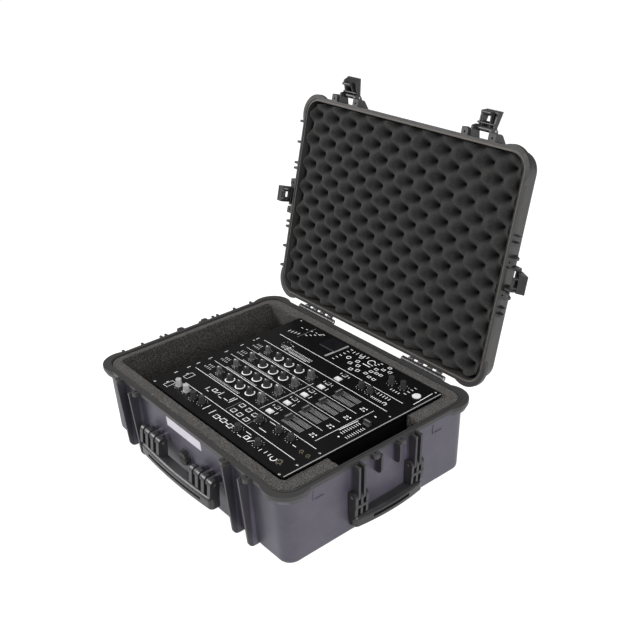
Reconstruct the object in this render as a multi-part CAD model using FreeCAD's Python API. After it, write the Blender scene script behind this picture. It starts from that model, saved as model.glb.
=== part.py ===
import FreeCAD, Part
import math
import os

# Mixer: overall size and seat; the case is laid out round it
mixer_length = 458.5
mixer_width = 407.4
mixer_centre_y = -1.4
mixer_top_lift = 4.0
mixer_body_height = 92.0
mixer_feet_height = 8.0
mixer_feet_radius = 16.0
mixer_feet_inset = 48.0
mixer_corner = 4.0
faceplate_thickness = 3.0
chassis_inset = 5.0
chassis_wall = 2.5
bevel_depth = 7.0
bevel_drop = 11.0

# Base foam: widths of its walls round the pocket, and the recess behind the mixer
pocket_gap = 0.8
pocket_round = 10.0
foam_front_width = 34.05
foam_side_width = 26.3
foam_back_width = 16.3
cable_recess_length = 122.95
foam_gap = 0.5
foam_top_drop = 0.8
foam_floor_lift = 0.4
notch_half_y = 102.0
notch_depth_x = 33.0
notch_floor_z = 103.0

# Base shell: depth, rim and draft of the walls
base_height = 169.0
rim_corner = 44.0
flange_overhang = 6.8
flange_depth = 8.0
flange_taper = 4.0
draft_inset = 7.5
wall_corner = 38.0
foot_corner = 26.0
foot_round = 11.0
wall = 5.7
base_floor = 5.0

# Tongue on the base rim that presses the lid's seal
tongue_inset = 8.6
tongue_width = 2.4
tongue_height = 1.4

# Bumpers at the four corners of both rims
bumper_radius = 47.0
bumper_reach = 6.0
bumper_taper = 5.0
bumper_drop = 11.0

# Lid shell
parting_gap = 0.4
lid_depth = 49.0
lid_round = 9.0
lid_flange_depth = 8.6
lid_flange_taper = 7.0
lid_draft_inset = 4.0
lid_rim_inset = 3.0
lid_bumper_reach = 2.5
seal_groove_width = 5.0
seal_groove_depth = 4.4
seal_height = 2.7
seal_side_gap = 0.2

# Stiffening bands pressed outward on the lid's top
lid_band_width = 44.0
lid_band_length_share = 0.501
lid_band_rise = 2.6
lid_band_pitch_share = 0.459

# Hinge line at the back, and the angle at which the open lid leans on its stop
hinge_reach = 8.2
hinge_drop = 2.4
lid_open_angle = 103.8
hinge_centre_share = 0.5345
hinge_length = 122.0
knuckle_radius = 6.4
knuckle_gap = 0.8
hinge_pin_radius = 2.5
hinge_pin_clearance = 0.06
knuckle_count = 9
hinge_arm_depth = 9.0

# Latch bays: two at the front, one on each side
front_bay_share = 0.5945
side_bay_along = 3.2
front_lug_half = 35.0
side_lug_half = 33.0
front_rib_half = 25.0
side_rib_half = 24.0
front_lever_half = 20.5
side_lever_half = 18.4
lug_half_width = 8.4
lug_reach = 12.0
lug_hole_out = 3.0
lug_depth = 9.0
lug_round = 6.0
lug_hole_radius = 2.3
rib_thickness = 5.0
front_rib_reach = 16.6
front_rib_foot_reach = 20.0
front_rib_foot_z = 1.0
front_rib_round = 14.0
side_rib_reach = 13.0
side_rib_foot_z = 121.0
side_rib_round = 9.0
catch_lip_depth = 5.0
catch_cut_depth = 20.0
catch_side_gap = 1.4

# Latch pivot, measured from the rim edge and the parting plane
pivot_reach = 14.2
pivot_rise = 20.0
ear_thickness = 4.4
ear_gap = 0.7
ear_radius = 7.2
ear_foot_rise = 5.0
fin_offset = 6.6
fin_thickness = 4.0
fin_rise = 38.0

# Latch lever, measured from its pivot
lever_length = 41.0
lever_plate = 2.8
lever_offset = 4.2
lever_cheek = 2.8
lever_barrel = 5.2
latch_pin_radius = 2.2
latch_pin_clearance = 0.06
claw_drop = 28.8
claw_radius = 3.2
claw_inset = 16.5
claw_throat_gap = 1.0
pull_inset = 8.0
pull_drop = 31.0
pull_thickness = 3.0
inner_bar_inset = 6.5
inner_bar_drop = 10.0
inner_bar_radius = 2.0
hook_half_share = 0.58
window_half_share = 0.6
window_low_share = 0.42
window_high_share = 0.68
front_left_open_angle = 80.0
front_right_open_angle = 107.0
right_open_angle = 54.0
left_open_angle = 30.0

# Ribs on the side walls: pairs beside each handle, single ones on the left wall
pair_inner_along = 65.6
pair_pitch = 13.0
pair_foot_z = 87.0
pair_reach = 16.0
single_rib_shares = (0.525, 0.726)
single_foot_z = 107.0
single_reach = 16.0
lid_stub_reach = 9.0
lid_stub_rise = 14.0

# Front label and purge valve
label_half_x = 62.0
label_drop = 12.5
label_height = 26.5
label_thickness = 0.9
valve_z = 85.0
valve_seat_radius = 17.5
valve_seat_depth = 5.0
valve_lip = 3.0
valve_knob_radius = 12.6
valve_knob_depth = 7.5
valve_knob_gap = 0.3
valve_lobe_radius = 2.2
valve_lobes = 12
valve_slot_width = 3.0
valve_slot_depth = 2.5
valve_stem_radius = 5.0
valve_stem_clearance = 0.06

# Carrying handles: pivots and combs
handle_pivot_z = 96.0
handle_pin_radius = 3.0
handle_pin_clearance = 0.06
handle_knuckle_radius = 11.0
ear_disc_radius = 8.8
front_knuckle_gap = 9.7
side_knuckle_gap = 1.2
front_fin_along = (61.5, 83.0, 103.5, 125.0)
front_fin_thickness = 10.0
front_ear_thickness = 7.0
side_fin_thickness = 5.6
side_fin_outer_thickness = 7.0
side_fin_pitch = 13.0
side_fin_inner_along = 59.0
cross_bar_height = 6.0
cross_bar_drop = 17.0
cross_bar_depth = 7.0

# Carrying handles: grips, with the slot along the outer face
front_grip_inset = 7.5
front_grip_thickness = 21.0
front_grip_low_z = 41.0
front_grip_depth = 27.0
front_grip_bow = 6.0
side_grip_inset = 10.3
side_grip_thickness = 18.0
side_grip_low_z = 28.0
side_grip_depth = 24.0
side_grip_bow = 7.5
grip_top_round = 8.0
grip_low_round = 4.0
grip_end_round = 10.0
grip_slot_width = 6.5
grip_slot_depth = 5.0
grip_slot_end = 16.0
grip_lip_share = 0.38
fin_foot_lift = 3.0
fin_foot_round = 5.0

# Short witness marks moulded beside the side handles
mark_shares = (-0.693, 0.5495)
mark_z = 128.0
mark_height = 20.0
mark_width = 3.0
mark_rise = 1.6
mark_foot_length = 25.0
mark_foot_width = 1.6

# Lid foam with an egg-crate face
egg_pitch = 28.6
egg_base = 18.0
egg_tip_drop = 3.0
egg_valley_drop = 27.0
lid_foam_inset = 1.2

# Mixer controls from the plate's middle, as shares of the plate: u towards the player, v to the player's right
channel_v_shares = (-0.1939, -0.0884, 0.0172, 0.1227)
trim_u_share = -0.325
high_u_share = -0.2421
middle_u_share = -0.1636
low_u_share = -0.0872
colour_u_share = 0.0
cue_u_share = 0.0916
cue_v_shares = (-0.2209, -0.1129, -0.0049, 0.1031, 0.216)
small_cue_offset_share = 0.0466
fader_u_share = 0.1941
fader_slot_low_share = 0.1701
fader_slot_high_share = 0.3053
cross_u_share = 0.4536
cross_v_share = 0.0147
cross_rest_share = 0.0442
low_knob_shares = (
    (0.1112, -0.4259), (0.2552, -0.4271), (0.1221, -0.3044), (0.2399, -0.2933), (0.3184, -0.2921),
    (0.2159, 0.2504), (0.2726, 0.2504),
)
tall_knob_shares = (
    (-0.3599, -0.4173), (-0.2944, -0.4197), (-0.2225, -0.4271), (-0.1658, -0.4197), (0.2835, 0.3854),
    (0.349, 0.3952),
)
grid_button_shares = (
    (-0.0262, -0.2896), (0.024, -0.2911), (0.072, -0.2946), (-0.0209, -0.3461), (0.0246, -0.3468),
    (0.0748, -0.3476), (-0.0305, -0.4384), (0.0144, -0.4332), (0.0672, -0.4369),
)
round_button_share = (0.4375, 0.3878)
screen_u_shares = (-0.2181, -0.1112)
screen_v_shares = (0.3829, 0.4761)
meter_u_shares = (-0.3272, -0.1112)
meter_v_shares = (0.2135, 0.2307)
channel_meter_u_shares = (-0.3272, -0.1134)
channel_meter_offset_share = 0.0466
jack_shares = ((0.4155, -0.3176), (0.4565, -0.3176), (0.41, -0.4394))
screw_shares = (
    (0.4711, -0.4909), (0.4711, -0.3927), (0.4711, -0.2626), (0.4711, 0.1718), (0.4711, 0.4836),
    (-0.4711, -0.4836), (-0.4711, -0.1473), (-0.4711, 0.1473), (-0.4711, 0.4836),
)
socket_row_shares = (-0.3927, -0.3142, -0.2356, -0.1571, -0.0785, 0.0, 0.0785, 0.1571, 0.2356, 0.3142)
inlet_v_share = 0.4124

# Mixer controls: sizes
knob_gap = 0.4
small_knob_radius = 6.2
small_knob_height = 14.0
tone_knob_radius = 6.8
tone_knob_height = 12.0
tall_knob_height = 15.5
colour_knob_radius = 8.2
colour_knob_height = 16.0
knob_taper = 0.8
knob_sides = 12
knob_skirt = 2.0
knob_skirt_rim = 1.2
knob_shaft_radius = 3.0
knob_shaft_clearance = 0.06
pointer_width = 1.2
pointer_lift = 0.5
fader_cap_length = 10.0
fader_cap_width = 17.0
fader_cap_height = 9.0
fader_cap_waist = 2.4
fader_stem = 1.6
fader_slot_width = 3.0
cross_slot_half = 26.0
cue_length = 13.0
cue_width = 9.0
cue_height = 2.4
cue_press = 1.0
button_gap = 0.3
small_button_length = 7.0
small_button_width = 6.0
small_button_height = 1.6
round_button_radius = 9.0
screen_rise = 1.2
meter_width = 4.0
meter_rise = 0.8
jack_radii = (4.6, 4.6, 7.0)
jack_hole_share = 0.6
jack_rise = 1.4
screw_radius = 3.0
screw_rise = 0.9
socket_radius = 5.2
socket_hole_radius = 3.0
socket_depth = 8.0
socket_row_drops = (22.0, 42.0)
inlet_width = 27.0
inlet_height = 20.0
inlet_hollow = 3.0

# General
cut_overrun = 1.0
embed_share = 0.5
join_tolerance = 0.0001

# Places worked out from the sizes above
foam_half_x = (foam_front_width + pocket_gap + mixer_length + cable_recess_length + foam_back_width) / 2
foam_half_y = mixer_width / 2 + pocket_gap + foam_side_width
wall_half_x = foam_half_x + foam_gap + wall
wall_half_y = foam_half_y + foam_gap + wall
rim_half_x = wall_half_x + flange_overhang
rim_half_y = wall_half_y + flange_overhang
pocket_front_x = foam_half_x - foam_front_width
mixer_centre_x = pocket_front_x - pocket_gap - mixer_length / 2
recess_back_x = foam_half_x - foam_back_width
parting_z = base_height + parting_gap
label_high_z = base_height - label_drop
label_low_z = label_high_z - label_height
lid_top_z = base_height + lid_depth
hinge_y = rim_half_y + hinge_reach
hinge_z = base_height - hinge_drop
pivot_z = base_height + pivot_rise
mixer_top_z = base_height + mixer_top_lift
pocket_floor_z = mixer_top_z - mixer_body_height
plate_low_z = mixer_top_z - faceplate_thickness
fader_u = fader_u_share * mixer_length
cross_u = cross_u_share * mixer_length
cross_v = cross_v_share * mixer_width
cross_rest_v = cross_rest_share * mixer_width
cue_u = cue_u_share * mixer_length
channel_v = [share * mixer_width for share in channel_v_shares]
cue_v = [share * mixer_width for share in cue_v_shares]


def vec(x, y, z):
    return FreeCAD.Vector(x, y, z)


def rounded_rect(half_x, half_y, radius, z):
    """A closed wire: a rectangle with round corners, level at z and centred on the origin."""
    inner_x = half_x - radius
    inner_y = half_y - radius
    bend = radius * math.sqrt(0.5)
    bends = []
    for sign_x, sign_y in ((1, 1), (-1, 1), (-1, -1), (1, -1)):
        side = vec(sign_x * half_x, sign_y * inner_y, z)
        middle = vec(sign_x * (inner_x + bend), sign_y * (inner_y + bend), z)
        head = vec(sign_x * inner_x, sign_y * half_y, z)
        if sign_x == sign_y:
            bends.append((side, middle, head))
        else:
            bends.append((head, middle, side))
    edges = []
    for index, (first, middle, last) in enumerate(bends):
        following = bends[(index + 1) % len(bends)][0]
        edges.append(Part.Arc(first, middle, last).toShape())
        edges.append(Part.LineSegment(last, following).toShape())
    return Part.Wire(edges)


def drafted_block(low, high):
    """A solid between two rounded rectangles, each given as half_x, half_y, radius, z."""
    return Part.makeLoft([rounded_rect(*low), rounded_rect(*high)], True, True)


def level_block(half_x, half_y, radius, low_z, high_z):
    """A straight-sided block with round corners."""
    face = Part.Face(rounded_rect(half_x, half_y, radius, low_z))
    return face.extrude(vec(0, 0, high_z - low_z))


def box(low_x, high_x, low_y, high_y, low_z, high_z):
    """A box between two opposite corners."""
    corner = vec(low_x, low_y, low_z)
    return Part.makeBox(high_x - low_x, high_y - low_y, high_z - low_z, corner)


def rounded_outline(points, radii):
    """A closed wire through points, with each corner rounded by its own radius."""
    pieces = []
    for index, here in enumerate(points):
        back = points[index - 1].sub(here)
        ahead = points[(index + 1) % len(points)].sub(here)
        back.normalize()
        ahead.normalize()
        if radii[index] == 0:
            pieces.append((here, None, here))
            continue
        half_turn = back.getAngle(ahead) / 2
        trim = radii[index] / math.tan(half_turn)
        inward = back.add(ahead)
        inward.normalize()
        middle = here.add(inward.multiply(radii[index] / math.sin(half_turn) - radii[index]))
        first = here.add(FreeCAD.Vector(back).multiply(trim))
        last = here.add(FreeCAD.Vector(ahead).multiply(trim))
        pieces.append((first, middle, last))
    edges = []
    for index, (first, middle, last) in enumerate(pieces):
        following = pieces[(index + 1) % len(pieces)][0]
        if middle is not None:
            edges.append(Part.Arc(first, middle, last).toShape())
        if last.distanceToPoint(following) > join_tolerance:
            edges.append(Part.LineSegment(last, following).toShape())
    return Part.Wire(edges)


def side_plate(profile, radii, along, thickness):
    """An upright plate square to the front wall; its profile is a list of (outward, z)."""
    points = [vec(along - thickness / 2, -outward, z) for outward, z in profile]
    face = Part.Face(rounded_outline(points, radii))
    return face.extrude(vec(thickness, 0, 0))


def level_plate(profile, radii, low_z, thickness):
    """A level plate; its profile is a list of (x, y)."""
    points = [vec(x, y, low_z) for x, y in profile]
    face = Part.Face(rounded_outline(points, radii))
    return face.extrude(vec(0, 0, thickness))


def bar_along_x(low_x, high_x, y, z, radius):
    """A round bar along X."""
    return Part.makeCylinder(radius, high_x - low_x, vec(low_x, y, z), vec(1, 0, 0))


def post(x, y, low_z, high_z, radius):
    """An upright round bar."""
    return Part.makeCylinder(radius, high_z - low_z, vec(x, y, low_z), vec(0, 0, 1))


def turned(shape, quarter_turns):
    """A copy turned about the vertical axis: one quarter takes the front to the right side."""
    copy = shape.copy()
    copy.rotate(vec(0, 0, 0), vec(0, 0, 1), 90 * quarter_turns)
    return copy


def fused(shapes):
    """One solid from touching solids."""
    first = shapes[0]
    whole = first.fuse(shapes[1:]) if len(shapes) > 1 else first
    return whole.removeSplitter()


def opened(shape):
    """A copy of a piece of the closed lid, swung back to where the open lid leans."""
    copy = shape.copy()
    copy.rotate(vec(0, hinge_y, hinge_z), vec(1, 0, 0), -lid_open_angle)
    return copy


def export(node, shape):
    """Write one node's solids."""
    shape.exportStep("parts/" + node + ".step")


def wall_inset(z):
    """How far the drafted wall stands inside its place at the rim, at height z."""
    return draft_inset * (1 - z / base_height)


def corner_bumpers(reach, low_z, high_z, taper_z):
    """Round bumpers at the four corners, with a cone on the side away from the parting plane."""
    solids = []
    inset = bumper_radius - reach
    small = bumper_radius - bumper_taper
    for sign_x in (-1, 1):
        for sign_y in (-1, 1):
            x = sign_x * (rim_half_x - inset)
            y = sign_y * (rim_half_y - inset)
            solids.append(post(x, y, low_z, high_z, bumper_radius))
            if taper_z < low_z:
                cone = Part.makeCone(small, bumper_radius, low_z - taper_z, vec(x, y, taper_z))
            else:
                cone = Part.makeCone(bumper_radius, small, taper_z - high_z, vec(x, y, high_z))
            solids.append(cone)
    return solids


def bays():
    """The four latch bays: quarter turns, place along the wall, rim reach, wall reach and half widths."""
    front = (rim_half_y, wall_half_y, front_lug_half, front_rib_half, front_lever_half)
    side = (rim_half_x, wall_half_x, side_lug_half, side_rib_half, side_lever_half)
    along = front_bay_share * rim_half_x
    return {
        "front_left": (0, -along) + front,
        "front_right": (0, along) + front,
        "right": (1, side_bay_along) + side,
        "left": (-1, -side_bay_along) + side,
    }


def padlock_lug(along, rim, low_z, thickness):
    """A rounded shelf on the rim with an upright hole for a padlock."""
    outer = rim + lug_reach
    root = rim - flange_overhang
    left = along - lug_half_width
    right = along + lug_half_width
    profile = [(left, -root), (left, -outer), (right, -outer), (right, -root)]
    shelf = level_plate(profile, [0, lug_round, lug_round, 0], low_z, thickness)
    hole = post(along, -rim - lug_hole_out, low_z - cut_overrun, low_z + thickness + cut_overrun, lug_hole_radius)
    return shelf.cut(hole)


def base_rib(along, rim, wall_top, reach, foot_reach, foot_z, low_round):
    """An upright rib on the base wall, deepest at the top, with a round lower corner."""
    top_z = base_height - flange_depth * embed_share
    root_top = wall_top - wall * embed_share
    root_foot = wall_top - wall_inset(foot_z) - wall * embed_share
    foot_outer = wall_top - wall_inset(foot_z) + foot_reach
    profile = [(root_top, top_z), (rim + reach, top_z), (foot_outer, foot_z), (root_foot, foot_z)]
    return side_plate(profile, [0, 0, low_round, 0], along, rib_thickness)


def base_shell():
    """The moulded lower half: drafted tub, rim flange, bumpers, tongue, ribs, lugs and handle ears."""
    foot = (wall_half_x - draft_inset, wall_half_y - draft_inset, foot_corner, 0)
    top = (wall_half_x, wall_half_y, wall_corner, base_height)
    tub = drafted_block(foot, top)
    low_edges = [edge for edge in tub.Edges if edge.BoundBox.ZMax < join_tolerance]
    tub = tub.makeFillet(foot_round, low_edges)
    flange_low_z = base_height - flange_depth
    taper_low_z = flange_low_z - flange_taper
    inset = wall_inset(taper_low_z)
    taper = drafted_block((wall_half_x - inset, wall_half_y - inset, wall_corner, taper_low_z),
                          (rim_half_x, rim_half_y, rim_corner, flange_low_z))
    flange = level_block(rim_half_x, rim_half_y, rim_corner, flange_low_z, base_height)
    solids = [tub, taper, flange] + corner_bumpers(bumper_reach, flange_low_z, base_height, flange_low_z - bumper_drop)
    shell = fused(solids)
    shell = shell.cut(fused(catch_cuts()))
    shell = fused([shell] + base_ribs_and_lugs() + handle_ears() + side_marks() + [valve_boss()])
    cavity = drafted_block(
        (wall_half_x - draft_inset - wall, wall_half_y - draft_inset - wall, foot_corner - wall, base_floor),
        (wall_half_x - wall, wall_half_y - wall, wall_corner - wall, base_height + cut_overrun))
    shell = shell.cut(cavity)
    shell = shell.cut(valve_bore())
    outer = level_block(rim_half_x - tongue_inset, rim_half_y - tongue_inset, rim_corner - tongue_inset,
                        base_height - tongue_height, base_height + tongue_height)
    grown = tongue_inset + tongue_width
    inner = level_block(rim_half_x - grown, rim_half_y - grown, rim_corner - grown,
                        base_height - tongue_height - cut_overrun, base_height + tongue_height + cut_overrun)
    return fused([shell, outer.cut(inner)])


def catch_cuts():
    """Room under the rim's edge in each bay, which leaves the lip that the claw hooks under."""
    cuts = []
    high_z = base_height - catch_lip_depth
    for turns, along, rim, wall_top, lug, rib, lever in bays().values():
        half = lever + catch_side_gap
        cut = box(along - half, along + half, -rim - cut_overrun, -wall_top, high_z - catch_cut_depth, high_z)
        cuts.append(turned(cut, turns))
    return cuts


def base_ribs_and_lugs():
    """Padlock lugs and ribs of the latch bays, and the ribs of the side walls."""
    solids = []
    lug_low_z = base_height - lug_depth
    for name, (turns, along, rim, wall_top, lug, rib, lever) in bays().items():
        if name.startswith("front"):
            shape = (front_rib_reach, front_rib_foot_reach, front_rib_foot_z, front_rib_round)
        else:
            shape = (side_rib_reach, side_rib_reach + flange_overhang, side_rib_foot_z, side_rib_round)
        for sign in (-1, 1):
            solids.append(turned(base_rib(along + sign * rib, rim, wall_top, *shape), turns))
            solids.append(turned(padlock_lug(along + sign * lug, rim, lug_low_z, lug_depth), turns))
    pair = (pair_reach, pair_reach + flange_overhang, pair_foot_z, side_rib_round)
    single = (single_reach, single_reach, single_foot_z, side_rib_round)
    for sign in (-1, 1):
        for step in (0, 1):
            along = sign * (pair_inner_along + step * pair_pitch)
            for turns in (-1, 1):
                solids.append(turned(base_rib(along, rim_half_x, wall_half_x, *pair), turns))
        for share in single_rib_shares:
            along = sign * share * rim_half_y
            solids.append(turned(base_rib(along, rim_half_x, wall_half_x, *single), -1))
    return solids


def handle_table():
    """Each handle: quarter turns, wall reach, gap behind its knuckles, fins, their thicknesses and its grip.

    A grip is given by its inset from the pivot, its thickness, low edge, depth and bow."""
    side_places = [side_fin_inner_along + step * side_fin_pitch for step in range(3)]
    side_thicknesses = [side_fin_thickness, side_fin_thickness, side_fin_outer_thickness]
    front_grip = (front_grip_inset, front_grip_thickness, front_grip_low_z, front_grip_depth, front_grip_bow)
    side_grip = (side_grip_inset, side_grip_thickness, side_grip_low_z, side_grip_depth, side_grip_bow)
    front_thicknesses = [front_fin_thickness] * len(front_fin_along)
    side = (wall_half_x, side_knuckle_gap, side_places, side_thicknesses, side_grip)
    return {
        "front": (0, wall_half_y, front_knuckle_gap, front_fin_along, front_thicknesses, front_grip),
        "right": (1,) + side,
        "left": (-1,) + side,
    }


def pivot_out(wall_top, gap):
    """How far out a handle's pivot stands: clear of the drafted wall at its height."""
    return wall_top - wall_inset(handle_pivot_z) + handle_knuckle_radius + gap


def front_ear_places():
    """Middles of the gaps between the front handle's fins, where the shell's ears stand."""
    places = []
    for first, second in zip(front_fin_along, front_fin_along[1:]):
        places.append((first + second) / 2)
    return places


def handle_ear(along, wall_top, gap, thickness):
    """An ear on the wall that carries a handle's pin, round about the pin."""
    centre = pivot_out(wall_top, gap)
    root = wall_top - wall_inset(handle_pivot_z) - wall * embed_share
    low_z = handle_pivot_z - ear_disc_radius
    high_z = handle_pivot_z + ear_disc_radius
    profile = [(root, low_z), (centre, low_z), (centre, high_z), (root, high_z)]
    disc = bar_along_x(along - thickness / 2, along + thickness / 2, -centre, handle_pivot_z, ear_disc_radius)
    return fused([side_plate(profile, [0, 0, 0, 0], along, thickness), disc])


def handle_ears():
    """Ears for the three handles, between the fins of the front one and on the pair ribs of the others."""
    solids = []
    for along in front_ear_places():
        for sign in (-1, 1):
            solids.append(handle_ear(sign * along, wall_half_y, front_knuckle_gap, front_ear_thickness))
    for turns in (-1, 1):
        for sign in (-1, 1):
            for step in (0, 1):
                along = sign * (pair_inner_along + step * pair_pitch)
                solids.append(turned(handle_ear(along, wall_half_x, side_knuckle_gap, rib_thickness), turns))
    return solids


def pin_spans():
    """Each handle pin: quarter turns, low and high end along the wall, and how far out it stands."""
    spans = []
    for turns, wall_top, gap, fins, thicknesses, grip_sizes in handle_table().values():
        inner = fins[0] - thicknesses[0] / 2
        outer = fins[-1] + thicknesses[-1] / 2
        for sign in (-1, 1):
            low, high = sorted((sign * inner, sign * outer))
            spans.append((turns, low, high, pivot_out(wall_top, gap)))
    return spans


def handle_pin_solids(radius, overrun):
    """The six handle pins, or the bores for them."""
    pins = []
    for turns, low, high, out in pin_spans():
        pin = bar_along_x(low - overrun, high + overrun, -out, handle_pivot_z, radius)
        pins.append(turned(pin, turns))
    return pins


def side_marks():
    """Small raised L marks on the side walls."""
    solids = []
    face = wall_half_x - wall_inset(mark_z)
    root = face - wall * embed_share
    for turns in (-1, 1):
        for share in mark_shares:
            low = share * rim_half_y * turns - mark_width / 2
            stem = box(low, low + mark_width, -face - mark_rise, -root, mark_z, mark_z + mark_height)
            foot_box = box(low, low + mark_foot_length, -face - mark_rise, -root, mark_z, mark_z + mark_foot_width)
            solids.append(turned(fused([stem, foot_box]), turns))
    return solids


def valve_face():
    """Reach of the front wall at the purge valve."""
    return wall_half_y - wall_inset(valve_z)


def valve_boss():
    """Round boss on the front wall that the purge valve sits in."""
    face = valve_face()
    return Part.makeCylinder(valve_seat_radius + valve_lip, valve_lip + wall * embed_share,
                             vec(0, -face + wall * embed_share, valve_z), vec(0, -1, 0))


def valve_bore():
    """Bore for the valve's seat through the wall."""
    face = valve_face()
    return Part.makeCylinder(valve_stem_radius + valve_lip, wall + valve_lip + 2 * cut_overrun,
                             vec(0, -face + wall + cut_overrun, valve_z), vec(0, -1, 0))


def purge_valve_body():
    """Seat ring with a neck through the wall and a bore for the screw knob's stem."""
    front = valve_face() + valve_lip
    ring = Part.makeCylinder(valve_seat_radius, valve_seat_depth, vec(0, -front, valve_z), vec(0, -1, 0))
    hollow = Part.makeCylinder(valve_knob_radius + valve_lobe_radius + valve_knob_gap, valve_lip,
                               vec(0, -front - valve_seat_depth + valve_lip, valve_z), vec(0, -1, 0))
    neck = Part.makeCylinder(valve_stem_radius + valve_lip, wall + valve_lip,
                             vec(0, -front + wall + valve_lip, valve_z), vec(0, -1, 0))
    bore = Part.makeCylinder(valve_stem_radius + valve_stem_clearance, wall + valve_seat_depth + 2 * valve_lip,
                             vec(0, -front + wall + valve_lip, valve_z), vec(0, -1, 0))
    return fused([ring.cut(hollow), neck]).cut(bore)


def purge_valve_knob():
    """Lobed screw knob with a coin slot and a stem."""
    seat = valve_face() + valve_seat_depth + valve_knob_gap
    disc = Part.makeCylinder(valve_knob_radius, valve_knob_depth, vec(0, -seat, valve_z), vec(0, -1, 0))
    lobes = []
    for index in range(valve_lobes):
        angle = 2 * math.pi * index / valve_lobes
        x = valve_knob_radius * math.cos(angle)
        z = valve_z + valve_knob_radius * math.sin(angle)
        lobes.append(Part.makeCylinder(valve_lobe_radius, valve_knob_depth, vec(x, -seat, z), vec(0, -1, 0)))
    stem = Part.makeCylinder(valve_stem_radius, wall + valve_seat_depth, vec(0, -seat + wall + valve_seat_depth,
                                                                            valve_z), vec(0, -1, 0))
    knob = fused([disc, stem] + lobes)
    half = valve_slot_width / 2
    tip = -seat - valve_knob_depth
    slot = box(-valve_knob_radius * 2, valve_knob_radius * 2, tip - cut_overrun, tip + valve_slot_depth,
               valve_z - half, valve_z + half)
    return knob.cut(slot)


def blank_label():
    """Bare plate on the front wall under the rim, laid against the drafted wall."""
    low = wall_half_y - wall_inset(label_low_z)
    high = wall_half_y - wall_inset(label_high_z)
    corners = [(low, label_low_z), (low + label_thickness, label_low_z),
               (high + label_thickness, label_high_z), (high, label_high_z)]
    return side_plate(corners, [0, 0, 0, 0], 0, 2 * label_half_x)


def handle(wall_top, gap, fins, thicknesses, grip_sizes, crossed):
    """A carrying handle hanging from its pins: comb arms, cross bars and a bowed grip with a slot."""
    inset, grip_thickness, low_z, depth, bow = grip_sizes
    centre = pivot_out(wall_top, gap)
    back = centre - inset
    high_z = low_z + depth
    solids = []
    for along, thickness in zip(fins, thicknesses):
        for sign in (-1, 1):
            place = sign * along
            disc = bar_along_x(place - thickness / 2, place + thickness / 2, -centre, handle_pivot_z,
                               handle_knuckle_radius)
            profile = [(centre - handle_knuckle_radius, handle_pivot_z),
                       (centre + handle_knuckle_radius, handle_pivot_z),
                       (back + grip_thickness, high_z + fin_foot_lift),
                       (back + grip_thickness * embed_share, high_z - grip_top_round),
                       (back, high_z - grip_top_round)]
            solids.append(disc)
            solids.append(side_plate(profile, [0, 0, fin_foot_round, 0, 0], place, thickness))
    outer_along = fins[-1] + thicknesses[-1] / 2
    inner_along = fins[0] - thicknesses[0] / 2
    if crossed:
        bar_out = centre + handle_knuckle_radius - cross_bar_depth - cut_overrun
        bar_high_z = handle_pivot_z - cross_bar_drop
        for sign in (-1, 1):
            low, high = sorted((sign * inner_along, sign * outer_along))
            solids.append(box(low, high, -bar_out - cross_bar_depth, -bar_out, bar_high_z - cross_bar_height,
                              bar_high_z))
    solids.append(grip(outer_along, back, grip_thickness, low_z, depth, bow))
    body = fused(solids)
    bore = bar_along_x(-outer_along - cut_overrun, outer_along + cut_overrun, -centre, handle_pivot_z,
                       handle_pin_radius + handle_pin_clearance)
    return body.cut(bore)


def bowed_face(half, back, thickness, bow, z):
    """A level face between a gently bowed back edge and a more bowed front edge."""
    back_mid = vec(0, -back - bow * embed_share, z)
    front_mid = vec(0, -back - thickness - bow, z)
    left_back = vec(-half, -back, z)
    right_back = vec(half, -back, z)
    left_front = vec(-half, -back - thickness, z)
    right_front = vec(half, -back - thickness, z)
    edges = [
        Part.Arc(left_back, back_mid, right_back).toShape(),
        Part.LineSegment(right_back, right_front).toShape(),
        Part.Arc(right_front, front_mid, left_front).toShape(),
        Part.LineSegment(left_front, left_back).toShape(),
    ]
    return Part.Face(Part.Wire(edges))


def grip(half, back, thickness, low_z, depth, bow):
    """The bowed grip bar, with round long edges and ends and a slot along its outer face."""
    high_z = low_z + depth
    bar = bowed_face(half, back, thickness, bow, low_z).extrude(vec(0, 0, depth))
    slot_back = back + thickness - grip_slot_depth
    slot_face = bowed_face(half - grip_slot_end, slot_back, grip_slot_depth + cut_overrun, bow,
                           low_z + depth * grip_lip_share)
    slot = slot_face.extrude(vec(0, 0, grip_slot_width))
    ends = [edge for edge in bar.Edges
            if edge.BoundBox.ZLength > depth - join_tolerance and edge.BoundBox.YMin < -back - thickness * embed_share]
    bar = bar.makeFillet(grip_end_round, ends)
    for radius, level_z in ((grip_top_round, high_z), (grip_low_round, low_z)):
        rims = [edge for edge in bar.Edges
                if edge.BoundBox.ZLength < join_tolerance and abs(edge.BoundBox.ZMin - level_z) < join_tolerance
                and edge.BoundBox.YMax < -back - thickness * embed_share]
        bar = bar.makeFillet(radius, rims)
    return bar.cut(slot)


def knuckle_spans(side):
    """Spans along X of the interleaved hinge knuckles: even ones on the base, odd ones on the lid."""
    pitch = hinge_length / knuckle_count
    start = side * hinge_centre_share * rim_half_x - hinge_length / 2
    spans = {"base": [], "lid": []}
    for index in range(knuckle_count):
        low = start + index * pitch
        owner = "base" if index % 2 == 0 else "lid"
        spans[owner].append((low + knuckle_gap / 2, low + pitch - knuckle_gap / 2))
    return spans


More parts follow.
